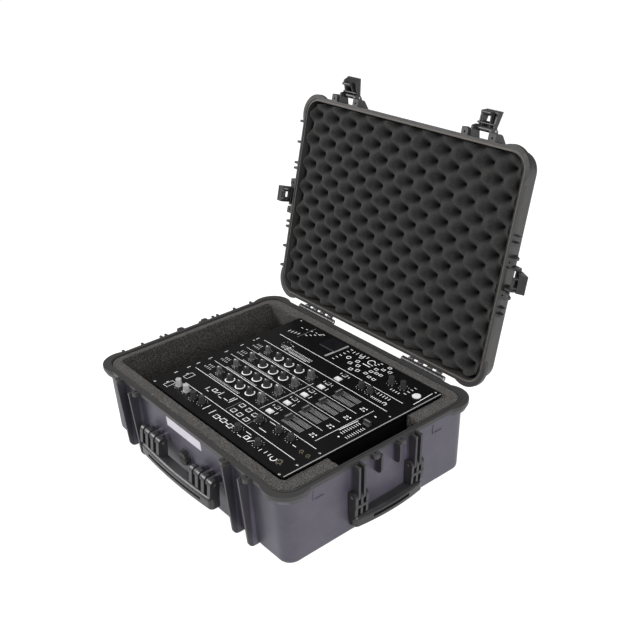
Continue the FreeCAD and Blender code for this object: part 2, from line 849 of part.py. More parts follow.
def hinge_comb(owner, side, bore_radius):
    """One comb of knuckles with arms to its shell's rim, in the closed position."""
    solids = []
    for low, high in knuckle_spans(side)[owner]:
        solids.append(bar_along_x(low, high, hinge_y, hinge_z, knuckle_radius))
        if owner == "base":
            corners = [(rim_half_y, hinge_z - hinge_arm_depth), (hinge_y + knuckle_radius, hinge_z),
                       (hinge_y, hinge_z), (rim_half_y, hinge_z)]
        else:
            corners = [(rim_half_y, parting_z), (hinge_y, hinge_z), (hinge_y + knuckle_radius, hinge_z),
                       (rim_half_y, parting_z + hinge_arm_depth)]
        points = [vec(low, y, z) for y, z in corners]
        arm = Part.Face(rounded_outline(points, [0, 0, 0, 0])).extrude(vec(high - low, 0, 0))
        solids.append(arm)
    spans = knuckle_spans(side)[owner]
    first = spans[0][0]
    last = spans[-1][1]
    if owner == "base":
        strap = box(first, last, rim_half_y, rim_half_y + hinge_strap(), hinge_z - hinge_arm_depth,
                    hinge_z - knuckle_radius)
    else:
        strap = box(first, last, rim_half_y, rim_half_y + hinge_strap(), parting_z + knuckle_radius,
                    parting_z + hinge_arm_depth)
    comb = fused(solids + [strap])
    bore = bar_along_x(first - cut_overrun, last + cut_overrun, hinge_y, hinge_z, bore_radius)
    return comb.cut(bore)


def hinge_strap():
    """Thickness of the strap that ties a comb's arms, clear of the other comb's knuckles."""
    return hinge_reach - knuckle_radius - knuckle_gap / 2


def lid_shell():
    """The moulded upper half in the closed position, hollow below, with its bands, bumpers and ears."""
    flange_high_z = parting_z + lid_flange_depth
    taper_high_z = flange_high_z + lid_flange_taper
    tub = drafted_block((wall_half_x, wall_half_y, wall_corner, parting_z),
                        (wall_half_x - lid_draft_inset, wall_half_y - lid_draft_inset, wall_corner, lid_top_z))
    top_edges = [edge for edge in tub.Edges if edge.BoundBox.ZMin > lid_top_z - join_tolerance]
    tub = tub.makeFillet(lid_round, top_edges)
    rim = (rim_half_x - lid_rim_inset, rim_half_y - lid_rim_inset, rim_corner - lid_rim_inset)
    flange = level_block(*rim, parting_z, flange_high_z)
    taper = drafted_block((*rim, flange_high_z),
                          (wall_half_x - lid_draft_inset * embed_share, wall_half_y - lid_draft_inset * embed_share,
                           wall_corner, taper_high_z))
    solids = [tub, flange, taper] + corner_bumpers(lid_bumper_reach, parting_z, flange_high_z, taper_high_z)
    solids += lid_bands() + lid_bay_solids() + lid_stubs()
    shell = fused(solids)
    inner_top_z = lid_top_z - wall
    cavity = drafted_block(
        (wall_half_x - wall, wall_half_y - wall, wall_corner - wall, parting_z - cut_overrun),
        (wall_half_x - wall - lid_draft_inset, wall_half_y - wall - lid_draft_inset, wall_corner - wall,
         inner_top_z))
    shell = shell.cut(cavity)
    return shell.cut(seal_ring(seal_groove_width, parting_z - cut_overrun, parting_z + seal_groove_depth))


def seal_ring(width, low_z, high_z):
    """A ring that follows the rim, centred on the tongue."""
    middle = tongue_inset + tongue_width / 2
    outer_inset = middle - width / 2
    inner_inset = middle + width / 2
    outer = level_block(rim_half_x - outer_inset, rim_half_y - outer_inset, rim_corner - outer_inset, low_z, high_z)
    inner = level_block(rim_half_x - inner_inset, rim_half_y - inner_inset, rim_corner - inner_inset,
                        low_z - cut_overrun, high_z + cut_overrun)
    return outer.cut(inner)


def lid_seal():
    """Rubber strip at the bottom of the lid's groove."""
    top_z = parting_z + seal_groove_depth
    return seal_ring(seal_groove_width - 2 * seal_side_gap, top_z - seal_height, top_z)


def lid_bands():
    """Flat bands pressed outward across the lid's top."""
    bands = []
    half_length = lid_band_length_share * rim_half_x
    half_width = lid_band_width / 2
    for step in (-1, 0, 1):
        band = drafted_block(
            (half_length, half_width, half_width - cut_overrun, lid_top_z - cut_overrun),
            (half_length - lid_band_rise, half_width - lid_band_rise, half_width - lid_band_rise - cut_overrun,
             lid_top_z + lid_band_rise))
        band.translate(vec(0, step * lid_band_pitch_share * rim_half_y, 0))
        bands.append(band)
    return bands


def lid_bay_solids():
    """Padlock lugs, outer fins and pivot ears of each latch bay."""
    solids = []
    for turns, along, rim, wall_top, lug, rib, lever in bays().values():
        pivot = rim + pivot_reach
        root = wall_top - wall * embed_share
        for sign in (-1, 1):
            lug_solid = padlock_lug(along + sign * lug, rim, parting_z, lug_depth)
            solids.append(turned(lug_solid, turns))
            ear_along = along + sign * (lever + ear_gap + ear_thickness / 2)
            profile = [(root, parting_z + ear_foot_rise), (pivot + ear_radius * embed_share, parting_z + ear_foot_rise),
                       (pivot + ear_radius, pivot_z), (pivot, pivot_z + ear_radius), (root, pivot_z + 2 * ear_radius)]
            radii = [0, ear_foot_rise, ear_radius * embed_share, ear_radius * embed_share, 0]
            ear = side_plate(profile, radii, ear_along, ear_thickness)
            hole = bar_along_x(ear_along - ear_thickness, ear_along + ear_thickness, -pivot, pivot_z,
                               latch_pin_radius)
            solids.append(turned(ear.cut(hole), turns))
            outer = rim + lug_reach
            fin_profile = [(root, parting_z), (outer, parting_z), (outer, parting_z + fin_rise * embed_share),
                           (root, parting_z + fin_rise)]
            fin = side_plate(fin_profile, [0, 0, lug_reach, 0], along + sign * (lug + fin_offset), fin_thickness)
            solids.append(turned(fin, turns))
    return solids


def lid_stubs():
    """Short ribs on the lid's sides, in line with the ribs of the base."""
    solids = []
    root = wall_half_x - wall * embed_share
    outer = rim_half_x + lid_stub_reach
    profile = [(root, parting_z), (outer, parting_z), (outer, parting_z + lid_stub_rise),
               (root, parting_z + lid_stub_rise + lid_stub_reach)]
    for sign in (-1, 1):
        for step in (0, 1):
            along = sign * (pair_inner_along + step * pair_pitch)
            for turns in (-1, 1):
                solids.append(turned(side_plate(profile, [0, 0, lug_round, 0], along, rib_thickness), turns))
        for share in single_rib_shares:
            along = sign * share * rim_half_y
            solids.append(turned(side_plate(profile, [0, 0, lug_round, 0], along, rib_thickness), -1))
    return solids


def latch_lever(along, rim, half, open_angle):
    """A latch lever on its pin: barrel, windowed plate, hooked cheeks, claw bar and slanted pull, swung open."""
    pivot = rim + pivot_reach
    low_x = along - half
    high_x = along + half
    face_in = pivot + lever_offset
    face_out = face_in + lever_plate
    tip_z = pivot_z - lever_length
    claw_z = pivot_z - claw_drop
    throat = rim + claw_throat_gap
    pull_z = pivot_z - pull_drop
    barrel = bar_along_x(low_x, high_x, -pivot, pivot_z, lever_barrel)
    plate = box(low_x, high_x, -face_out, -face_in, tip_z, pivot_z)
    window_half = half * window_half_share
    window = box(along - window_half, along + window_half, -face_out - cut_overrun, -face_in + cut_overrun,
                 pivot_z - lever_length * window_high_share, pivot_z - lever_length * window_low_share)
    solids = [barrel, plate.cut(window)]
    hook_half = half * hook_half_share
    cheek = [(face_out, pivot_z), (face_out, tip_z), (pivot - pull_inset, pull_z - pull_thickness),
             (pivot - pull_inset, pull_z), (pivot - lever_barrel * embed_share, pivot_z - lever_barrel), (pivot, pivot_z)]
    hook = [(face_in, pivot_z), (face_in, pull_z), (pivot - pull_inset, pull_z - pull_thickness),
            (pivot - claw_inset, claw_z - claw_radius), (pivot - claw_inset, claw_z), (throat, claw_z),
            (throat, claw_z + claw_radius), (pivot - lever_barrel, pivot_z - lever_barrel), (pivot, pivot_z)]
    for profile, reach in ((cheek, half), (hook, hook_half)):
        for sign in (-1, 1):
            middle = along + sign * (reach - lever_cheek / 2)
            solids.append(side_plate(profile, [0] * len(profile), middle, lever_cheek))
    pull = [(pivot - pull_inset, pull_z), (face_out, tip_z + pull_thickness), (face_out, tip_z),
            (pivot - pull_inset, pull_z - pull_thickness)]
    solids.append(side_plate(pull, [0] * len(pull), along, 2 * half))
    solids.append(bar_along_x(along - hook_half, along + hook_half, -pivot + claw_inset, claw_z, claw_radius))
    solids.append(bar_along_x(low_x, high_x, -pivot + inner_bar_inset, pivot_z - inner_bar_drop, inner_bar_radius))
    lever = fused(solids)
    bore = bar_along_x(low_x - cut_overrun, high_x + cut_overrun, -pivot, pivot_z,
                       latch_pin_radius + latch_pin_clearance)
    lever = lever.cut(bore)
    lever.rotate(vec(0, -pivot, pivot_z), vec(-1, 0, 0), open_angle)
    return lever


def latch_pins():
    """The four latch pins, each from ear to ear."""
    pins = []
    for turns, along, rim, wall_top, lug, rib, lever in bays().values():
        half = lever + ear_gap + ear_thickness
        pin = bar_along_x(along - half, along + half, -rim - pivot_reach, pivot_z, latch_pin_radius)
        pins.append(opened(turned(pin, turns)))
    return Part.makeCompound(pins)


def base_foam():
    """Foam block in the base, with the mixer's pocket, the recess behind it and the notch before it."""
    low_z = base_floor + foam_floor_lift
    high_z = base_height - foam_top_drop
    low_inset = wall_inset(low_z)
    high_inset = wall_inset(high_z)
    block = drafted_block((foam_half_x - low_inset, foam_half_y - low_inset, foot_corner - wall, low_z),
                          (foam_half_x - high_inset, foam_half_y - high_inset, wall_corner - wall, high_z))
    half_length = (pocket_front_x + recess_back_x) / 2
    half_width = mixer_width / 2 + pocket_gap
    pocket = level_block(half_length, half_width, pocket_round, pocket_floor_z, high_z + cut_overrun)
    pocket.translate(vec(pocket_front_x - half_length, mixer_centre_y, 0))
    notch = level_block(notch_depth_x, notch_half_y, pocket_round, notch_floor_z, high_z + cut_overrun)
    notch.translate(vec(pocket_front_x, mixer_centre_y, 0))
    return block.cut(pocket).cut(notch)


def egg_height(row, column, top_z):
    """Height of the egg-crate face at a grid point: tips and valleys take turns."""
    if (row + column) % 2 == 0:
        return parting_z + egg_tip_drop
    return min(parting_z + egg_valley_drop, top_z - egg_base)


def lid_foam():
    """Egg-crate foam in the lid: a slab whose lower face is a grid of tips and valleys."""
    top_z = lid_top_z - wall - foam_gap
    half_x = wall_half_x - wall - lid_draft_inset - lid_foam_inset
    half_y = wall_half_y - wall - lid_draft_inset - lid_foam_inset
    columns = math.ceil(half_x / egg_pitch)
    rows = math.ceil(half_y / egg_pitch)
    middle_z = egg_height(0, 1, top_z)
    faces = []
    def point(row, column):
        return vec(column * egg_pitch, row * egg_pitch, egg_height(row, column, top_z))
    def triangle(first, second, third):
        return Part.Face(Part.makePolygon([first, second, third, first]))
    for row in range(-rows, rows):
        for column in range(-columns, columns):
            near = point(row, column)
            right = point(row, column + 1)
            far = point(row + 1, column + 1)
            left = point(row + 1, column)
            if (row + column) % 2 == 0:
                faces.append(triangle(near, right, left))
                faces.append(triangle(right, far, left))
            else:
                faces.append(triangle(near, right, far))
                faces.append(triangle(near, far, left))
    wall_x = columns * egg_pitch
    wall_y = rows * egg_pitch
    def skirt(points):
        corners = [vec(points[0].x, points[0].y, top_z)] + points + [vec(points[-1].x, points[-1].y, top_z)]
        return Part.Face(Part.makePolygon(corners + [corners[0]]))
    for end in (-rows, rows):
        faces.append(skirt([point(end, column) for column in range(-columns, columns + 1)]))
    for end in (-columns, columns):
        faces.append(skirt([point(row, end) for row in range(-rows, rows + 1)]))
    lid_corners = [vec(-wall_x, -wall_y, top_z), vec(wall_x, -wall_y, top_z), vec(wall_x, wall_y, top_z),
                   vec(-wall_x, wall_y, top_z)]
    faces.append(Part.Face(Part.makePolygon(lid_corners + [lid_corners[0]])))
    block = Part.Solid(Part.Shell(faces))
    if block.Volume < 0:
        block.reverse()
    trim = level_block(half_x, half_y, wall_corner - wall, parting_z - middle_z, top_z)
    return block.common(trim)


def on_plate(u, v):
    """Place on the mixer's plate from its centre."""
    return mixer_centre_x + u, mixer_centre_y + v


def plate_place(shares):
    """Place on the mixer's plate given as shares of its length and width."""
    return shares[0] * mixer_length, shares[1] * mixer_width


def knob(u, v, radius, height):
    """A rotary knob: round skirt, many-sided tapered grip, pointer ridge and a shaft into the plate."""
    x, y = on_plate(u, v)
    low_z = mixer_top_z + knob_gap
    skirt = post(x, y, low_z, low_z + knob_skirt, radius + knob_skirt_rim)
    rings = []
    for z, ring_radius in ((low_z + knob_skirt, radius), (low_z + height, radius - knob_taper)):
        points = []
        for index in range(knob_sides):
            angle = 2 * math.pi * index / knob_sides
            points.append(vec(x + ring_radius * math.cos(angle), y + ring_radius * math.sin(angle), z))
        rings.append(Part.makePolygon(points + [points[0]]))
    grip_solid = Part.makeLoft(rings, True, True)
    half = pointer_width / 2
    pointer = box(x - radius + knob_taper, x, y - half, y + half, low_z + height - pointer_lift,
                  low_z + height + pointer_lift)
    shaft = post(x, y, plate_low_z, low_z, knob_shaft_radius)
    return fused([skirt, grip_solid, pointer, shaft])


def fader_cap(u, v, along_u):
    """A fader cap with a pinched waist and a stem down through its slot."""
    x, y = on_plate(u, v)
    low_z = mixer_top_z + knob_gap
    half = fader_cap_length / 2
    waist = half - fader_cap_waist
    middle_z = low_z + fader_cap_height * embed_share
    high_z = low_z + fader_cap_height
    profile = [(-half, low_z), (half, low_z), (waist, middle_z), (half - knob_taper, high_z),
               (knob_taper - half, high_z), (-waist, middle_z)]
    points = [vec(across, -fader_cap_width / 2, z) for across, z in profile]
    cap = Part.Face(rounded_outline(points, [0] * len(points))).extrude(vec(0, fader_cap_width, 0))
    stem_half = fader_stem / 2
    stem = box(-stem_half, stem_half, -stem_half, stem_half, plate_low_z, low_z)
    shape = fused([cap, stem])
    if not along_u:
        shape.rotate(vec(0, 0, 0), vec(0, 0, 1), 90)
    shape.translate(vec(x, y, 0))
    return shape


def button(u, v, length, width, height):
    """A button with a short stem through the plate."""
    x, y = on_plate(u, v)
    half_length = length / 2
    half_width = width / 2
    low_z = mixer_top_z - faceplate_thickness * embed_share + cue_press
    return box(x - half_length, x + half_length, y - half_width, y + half_width, low_z, mixer_top_z + height)


def plate_slot(low_u, high_u, v, width):
    """A slot through the plate along u."""
    low_x, low_y = on_plate(low_u, v)
    high_x, high_y = on_plate(high_u, v)
    return box(low_x, high_x, low_y - width / 2, low_y + width / 2, plate_low_z - cut_overrun,
               mixer_top_z + cut_overrun)


def channel_knobs():
    """Each channel's rotary knobs: name, place and size."""
    rows = (("trim_knob", trim_u_share, small_knob_radius, small_knob_height),
            ("high_knob", high_u_share, tone_knob_radius, tone_knob_height),
            ("middle_knob", middle_u_share, tone_knob_radius, tone_knob_height),
            ("low_knob", low_u_share, tone_knob_radius, tone_knob_height),
            ("colour_knob", colour_u_share, colour_knob_radius, colour_knob_height))
    knobs = []
    for label, share, radius, height in rows:
        for number, v in enumerate(channel_v, start=1):
            knobs.append((f"{label}_{number}", share * mixer_length, v, radius, height))
    return knobs


def knob_places():
    """Places of all rotary knobs on the plate."""
    places = [(u, v) for name, u, v, radius, height in channel_knobs()]
    places += [plate_place(shares) for shares in low_knob_shares + tall_knob_shares]
    return places


def mixer_faceplate():
    """The top plate with its shaft holes, fader slots and button windows."""
    plate = level_block(mixer_length / 2, mixer_width / 2, mixer_corner, plate_low_z, mixer_top_z)
    plate.translate(vec(mixer_centre_x, mixer_centre_y, 0))
    cuts = []
    bore = knob_shaft_radius + knob_shaft_clearance
    for u, v in knob_places():
        x, y = on_plate(u, v)
        cuts.append(post(x, y, plate_low_z - cut_overrun, mixer_top_z + cut_overrun, bore))
    for v in channel_v:
        cuts.append(plate_slot(fader_slot_low_share * mixer_length, fader_slot_high_share * mixer_length, v,
                               fader_slot_width))
    low_x, low_y = on_plate(cross_u - fader_slot_width / 2, cross_v - cross_slot_half)
    high_x, high_y = on_plate(cross_u + fader_slot_width / 2, cross_v + cross_slot_half)
    cuts.append(box(low_x, high_x, low_y, high_y, plate_low_z - cut_overrun, mixer_top_z + cut_overrun))
    half_length = cue_length / 2 + button_gap
    half_width = cue_width / 2 + button_gap
    for v in cue_v:
        x, y = on_plate(cue_u, v)
        cuts.append(box(x - half_length, x + half_length, y - half_width, y + half_width,
                        plate_low_z - cut_overrun, mixer_top_z + cut_overrun))
    return plate.cut(cuts)


def mixer_chassis():
    """The mixer's housing under the plate: sheet walls and floor, with a bevelled front edge."""
    low_z = pocket_floor_z + mixer_feet_height
    bevel_z = plate_low_z - bevel_drop
    half_x = mixer_length / 2
    half_y = mixer_width / 2 - chassis_inset
    def housing(inset, low, high):
        profile = [(-half_x + chassis_inset + inset, low), (half_x - chassis_inset - bevel_depth - inset, low),
                   (half_x - bevel_depth - inset, bevel_z), (half_x - inset, plate_low_z), (half_x - inset, high),
                   (-half_x + chassis_inset + inset, high)]
        if high == plate_low_z:
            profile.pop(4)
        points = [vec(mixer_centre_x + x, mixer_centre_y - half_y + inset, z) for x, z in profile]
        face = Part.Face(rounded_outline(points, [0] * len(points)))
        return face.extrude(vec(0, 2 * (half_y - inset), 0))
    return housing(0, low_z, plate_low_z).cut(housing(chassis_wall, low_z + chassis_wall, plate_low_z + cut_overrun))


def mixer_feet():
    """Four round rubber feet."""
    feet = []
    for sign_u in (-1, 1):
        for sign_v in (-1, 1):
            x, y = on_plate(sign_u * (mixer_length / 2 - mixer_feet_inset),
                            sign_v * (mixer_width / 2 - mixer_feet_inset))
            feet.append(post(x, y, pocket_floor_z, pocket_floor_z + mixer_feet_height, mixer_feet_radius))
    return Part.makeCompound(feet)


def plate_piece(low_u, high_u, low_v, high_v, rise):
    """A flat piece that stands on the plate."""
    low_x, low_y = on_plate(low_u, low_v)
    high_x, high_y = on_plate(high_u, high_v)
    return box(low_x, high_x, low_y, high_y, mixer_top_z, mixer_top_z + rise)


def level_meters():
    """Raised strips of the two master meters and the four channel meters."""
    strips = []
    half = meter_width / 2
    low_u, high_u = [share * mixer_length for share in meter_u_shares]
    for share in meter_v_shares:
        middle = share * mixer_width
        strips.append(plate_piece(low_u, high_u, middle - half, middle + half, meter_rise))
    low_u, high_u = [share * mixer_length for share in channel_meter_u_shares]
    for v in channel_v:
        middle = v - channel_meter_offset_share * mixer_width
        strips.append(plate_piece(low_u, high_u, middle - half, middle + half, meter_rise))
    return Part.makeCompound(strips)


def small_buttons():
    """The small buttons of the left columns, beside the cue buttons, and the round one at the right."""
    solids = []
    places = [plate_place(shares) for shares in grid_button_shares]
    places += [(cue_u, v + small_cue_offset_share * mixer_width) for v in cue_v]
    for u, v in places:
        solids.append(plate_piece(u - small_button_length / 2, u + small_button_length / 2,
                                  v - small_button_width / 2, v + small_button_width / 2, small_button_height))
    x, y = on_plate(*plate_place(round_button_share))
    solids.append(post(x, y, mixer_top_z, mixer_top_z + small_button_height, round_button_radius))
    return Part.makeCompound(solids)


def plate_sockets():
    """Round sockets on the plate."""
    rings = []
    for shares, radius in zip(jack_shares, jack_radii):
        x, y = on_plate(*plate_place(shares))
        ring = post(x, y, mixer_top_z, mixer_top_z + jack_rise, radius)
        rings.append(ring.cut(post(x, y, mixer_top_z - cut_overrun, mixer_top_z + jack_rise + cut_overrun,
                                   radius * jack_hole_share)))
    return Part.makeCompound(rings)


def plate_screws():
    """Domed screw heads along the plate's edges."""
    heads = []
    for shares in screw_shares:
        x, y = on_plate(*plate_place(shares))
        heads.append(Part.makeCone(screw_radius, screw_radius * embed_share, screw_rise, vec(x, y, mixer_top_z)))
    return Part.makeCompound(heads)


def rear_sockets():
    """Two rows of round sockets and the mains inlet on the mixer's rear face."""
    face_x = mixer_centre_x - mixer_length / 2 + chassis_inset
    solids = []
    for share in socket_row_shares:
        for drop in socket_row_drops:
            start = vec(face_x, mixer_centre_y + share * mixer_width, mixer_top_z - drop)
            body = Part.makeCylinder(socket_radius, socket_depth, start, vec(-1, 0, 0))
            hole = Part.makeCylinder(socket_hole_radius, socket_depth + cut_overrun, start, vec(-1, 0, 0))
            solids.append(body.cut(hole))
    y = mixer_centre_y + inlet_v_share * mixer_width
    z = mixer_top_z - socket_row_drops[-1]
    half_width = inlet_width / 2
    half_height = inlet_height / 2
    inlet = box(face_x - socket_depth, face_x, y - half_width, y + half_width, z - half_height, z + half_height)
    hollow = box(face_x - socket_depth - cut_overrun, face_x - inlet_hollow, y - half_width + inlet_hollow,
                 y + half_width - inlet_hollow, z - half_height + inlet_hollow, z + half_height - inlet_hollow)
    solids.append(inlet.cut(hollow))
    return Part.makeCompound(solids)


def build_base():
    """Write the nodes of the lower half."""
    shell = base_shell()
    shell = shell.cut(fused(handle_pin_solids(handle_pin_radius, cut_overrun)))
    export("base_shell", shell)
    export("base_foam", base_foam())
    export("blank_label", blank_label())
    export("purge_valve_body", purge_valve_body())
    export("purge_valve_knob", purge_valve_knob())
    export("handle_pins", Part.makeCompound(handle_pin_solids(handle_pin_radius, 0)))
    combs = [hinge_comb("base", side, hinge_pin_radius) for side in (-1, 1)]
    export("base_hinge_combs", Part.makeCompound(combs))
    pins = []
    half = hinge_length / 2 - knuckle_gap / 2
    for side in (-1, 1):
        middle = side * hinge_centre_share * rim_half_x
        pins.append(bar_along_x(middle - half, middle + half, hinge_y, hinge_z, hinge_pin_radius))
    export("hinge_pins", Part.makeCompound(pins))
    for name, (turns, *sizes) in handle_table().items():
        export(name + "_handle", turned(handle(*sizes, turns != 0), turns))


def build_lid():
    """Write the nodes of the upper half, swung open."""
    export("lid_shell", opened(lid_shell()))
    export("lid_foam", opened(lid_foam()))
    export("lid_seal", opened(lid_seal()))
    combs = [opened(hinge_comb("lid", side, hinge_pin_radius + hinge_pin_clearance)) for side in (-1, 1)]
    export("lid_hinge_combs", Part.makeCompound(combs))
    export("latch_pins", latch_pins())
    angles = {"front_left": front_left_open_angle, "front_right": front_right_open_angle,
              "right": right_open_angle, "left": left_open_angle}
    for name, (turns, along, rim, wall_top, lug, rib, lever) in bays().items():
        shape = latch_lever(along, rim, lever, angles[name])
        export(name + "_latch_lever", opened(turned(shape, turns)))


def build_mixer():
    """Write the nodes of the mixer that the foam holds."""
    export("mixer_chassis", mixer_chassis())
    export("mixer_faceplate", mixer_faceplate())
    export("mixer_feet", mixer_feet())
    low_u, high_u = [share * mixer_length for share in screen_u_shares]
    low_v, high_v = [share * mixer_width for share in screen_v_shares]
    export("mixer_screen", plate_piece(low_u, high_u, low_v, high_v, screen_rise))
    export("level_meters", level_meters())
    export("small_buttons", small_buttons())
    export("plate_sockets", plate_sockets())
    export("plate_screws", plate_screws())
    export("rear_sockets", rear_sockets())
    panel = [knob(*plate_place(shares), tone_knob_radius, tone_knob_height) for shares in low_knob_shares]
    panel += [knob(*plate_place(shares), tone_knob_radius, tall_knob_height) for shares in tall_knob_shares]
    export("panel_knobs", Part.makeCompound(panel))
    for name, u, v, radius, height in channel_knobs():
        export(name, knob(u, v, radius, height))
    for number, v in enumerate(channel_v, start=1):
        export(f"channel_fader_{number}", fader_cap(fader_u, v, True))
    export("cross_fader", fader_cap(cross_u, cross_rest_v, False))
    for number, v in enumerate(cue_v, start=1):
        export(f"cue_button_{number}", button(cue_u, v, cue_length, cue_width, cue_height))


def main():
    os.makedirs("parts", exist_ok=True)
    build_base()
    build_lid()
    build_mixer()


main()
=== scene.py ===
"""An open moulded case with a mixer in cut foam, dressed for its portrait.

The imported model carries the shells, fittings and controls. This file gives them their finishes, and adds
the two foams as surfaces worked out on grids and the printed legends of the panel as thin bars.
"""
import logging
import math
from collections.abc import Sequence
from dataclasses import dataclass, field
from enum import Enum

import bpy
import numpy as np
from mathutils import Matrix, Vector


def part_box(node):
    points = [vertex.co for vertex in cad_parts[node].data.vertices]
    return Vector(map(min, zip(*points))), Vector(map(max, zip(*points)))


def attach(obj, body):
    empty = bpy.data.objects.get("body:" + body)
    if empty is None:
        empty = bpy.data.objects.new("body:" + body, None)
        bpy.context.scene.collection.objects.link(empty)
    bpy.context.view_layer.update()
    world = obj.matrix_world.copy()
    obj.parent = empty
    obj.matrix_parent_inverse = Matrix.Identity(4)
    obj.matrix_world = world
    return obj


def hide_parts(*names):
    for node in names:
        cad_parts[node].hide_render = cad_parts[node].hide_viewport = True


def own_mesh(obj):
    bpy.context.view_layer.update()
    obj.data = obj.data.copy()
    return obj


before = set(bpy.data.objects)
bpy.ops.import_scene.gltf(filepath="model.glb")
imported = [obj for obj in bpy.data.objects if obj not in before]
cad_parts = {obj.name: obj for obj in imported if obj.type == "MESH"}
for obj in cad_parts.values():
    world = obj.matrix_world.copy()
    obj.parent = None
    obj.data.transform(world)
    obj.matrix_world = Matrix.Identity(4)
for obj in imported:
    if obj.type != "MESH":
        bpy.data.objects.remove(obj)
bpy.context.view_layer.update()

LOG = logging.getLogger("mixer_case")
Colour = tuple[float, float, float]
Place = tuple[float, float]
SEED = 20541


class Tree:
    """A material's node tree, filled call by call."""

    def __init__(self, name: str) -> None:
        """Start a material with its surface shader in place.

        Args:
            name: the material's name.
        """
        self.material = bpy.data.materials.new(name)
        self.material.use_nodes = True
        self.nodes = self.material.node_tree.nodes
        self.links = self.material.node_tree.links
        self.surface = self.nodes["Principled BSDF"]
        self.output = self.nodes["Material Output"]

    def feed(self, socket: bpy.types.NodeSocket, value: object) -> None:
        """Link a socket to an output, or set it to a plain value."""
        if isinstance(value, bpy.types.NodeSocket):
            self.links.new(value, socket)
        elif isinstance(value, tuple) and len(value) == 3 and socket.type == "RGBA":
            socket.default_value = (*value, 1.0)
        else:
            socket.default_value = value

    def add(self, kind: str, inputs: dict[str | int, object] | None = None,
            **options: object) -> bpy.types.Node:
        """Add a node.

        Args:
            kind: the node's type, without its prefix.
            inputs: values or outputs for its sockets.
            options: properties of the node.

        Returns:
            The new node.
        """
        node = self.nodes.new("ShaderNode" + kind)
        for key, value in options.items():
            setattr(node, key, value)
        for socket, value in (inputs or {}).items():
            self.feed(node.inputs[socket], value)
        return node

    def place(self) -> bpy.types.NodeSocket:
        """The piece's own coordinates, in metres."""
        return self.add("TexCoord").outputs["Object"]

    def noise(self, size: float, detail: float = 3.0, roughness: float = 0.55) -> bpy.types.NodeSocket:
        """Cloudy noise whose blobs are about size metres across.

        Args:
            size: the size of the largest blobs.
            detail: how many octaves finer it goes.
            roughness: how strong the finer octaves are.

        Returns:
            The noise's factor output, from 0 to 1.
        """
        inputs = {"Vector": self.place(), "Scale": 1.0 / size, "Detail": detail, "Roughness": roughness}
        return self.add("TexNoise", inputs).outputs["Fac"]

    def cells(self, size: float) -> bpy.types.NodeSocket:
        """Distance from the middle of round cells about size metres across."""
        return self.add("TexVoronoi", {"Vector": self.place(), "Scale": 1.0 / size}).outputs["Distance"]

    def ramp(self, factor: object, stops: list[tuple[float, Colour | float]]) -> bpy.types.NodeSocket:
        """Colours along a factor.

        Args:
            factor: the output that drives the ramp.
            stops: places from 0 to 1, each with a colour or a grey level.

        Returns:
            The ramp's colour output.
        """
        node = self.add("ValToRGB", {"Fac": factor})
        marks = node.color_ramp.elements
        while len(marks) < len(stops):
            marks.new(0.5)
        for mark, (where, value) in zip(marks, stops):
            mark.position = where
            level = (value, value, value) if isinstance(value, float) else value
            mark.color = (*level, 1.0)
        return node.outputs["Color"]

    def mix(self, factor: object, first: object, second: object, blend: str = "MIX") -> bpy.types.NodeSocket:
        """Blend two colours by a factor."""
        node = self.add("Mix", data_type="RGBA", blend_type=blend)
        self.feed(node.inputs["Factor"], factor)
        self.feed(node.inputs[6], first)
        self.feed(node.inputs[7], second)
        return node.outputs[2]

    def maths(self, operation: str, first: object, second: object = 0.0) -> bpy.types.NodeSocket:
        """A sum, product or other simple operation on two numbers."""
        node = self.add("Math", {0: first, 1: second}, operation=operation)
        return node.outputs["Value"]

    def inside(self, corners: tuple[float, float, float, float]) -> bpy.types.NodeSocket:
        """One inside a rectangle seen from above, and zero outside.

        Args:
            corners: its low x, high x, low y and high y.

        Returns:
            The mask's output.
        """
        parts = self.add("SeparateXYZ", {"Vector": self.place()}).outputs
        mask = 1.0
        for axis, operation, edge in (("X", "GREATER_THAN", corners[0]), ("X", "LESS_THAN", corners[1]),
                                      ("Y", "GREATER_THAN", corners[2]), ("Y", "LESS_THAN", corners[3])):
            mask = self.maths("MULTIPLY", mask, self.maths(operation, parts[axis], edge))
        return mask

    def bump(self, height: object, depth: float, beneath: object = None) -> bpy.types.NodeSocket:
        """Shade a height as relief, depth metres deep at most.

        Args:
            height: an output from 0 to 1.
            depth: the relief's depth.
            beneath: another relief that this one lies on.

        Returns:
            The shading normal.
        """
        inputs = {"Height": height, "Distance": depth, "Strength": 1.0}
        if beneath is not None:
            inputs["Normal"] = beneath
        return self.add("Bump", inputs).outputs["Normal"]

    def finish(self, **sockets: object) -> bpy.types.Material:
        """Feed the surface shader's sockets, named with underscores for blanks.

        Returns:
            The finished material.
        """
        for key, value in sockets.items():
            self.feed(self.surface.inputs[key.replace("_", " ")], value)
        return self.material


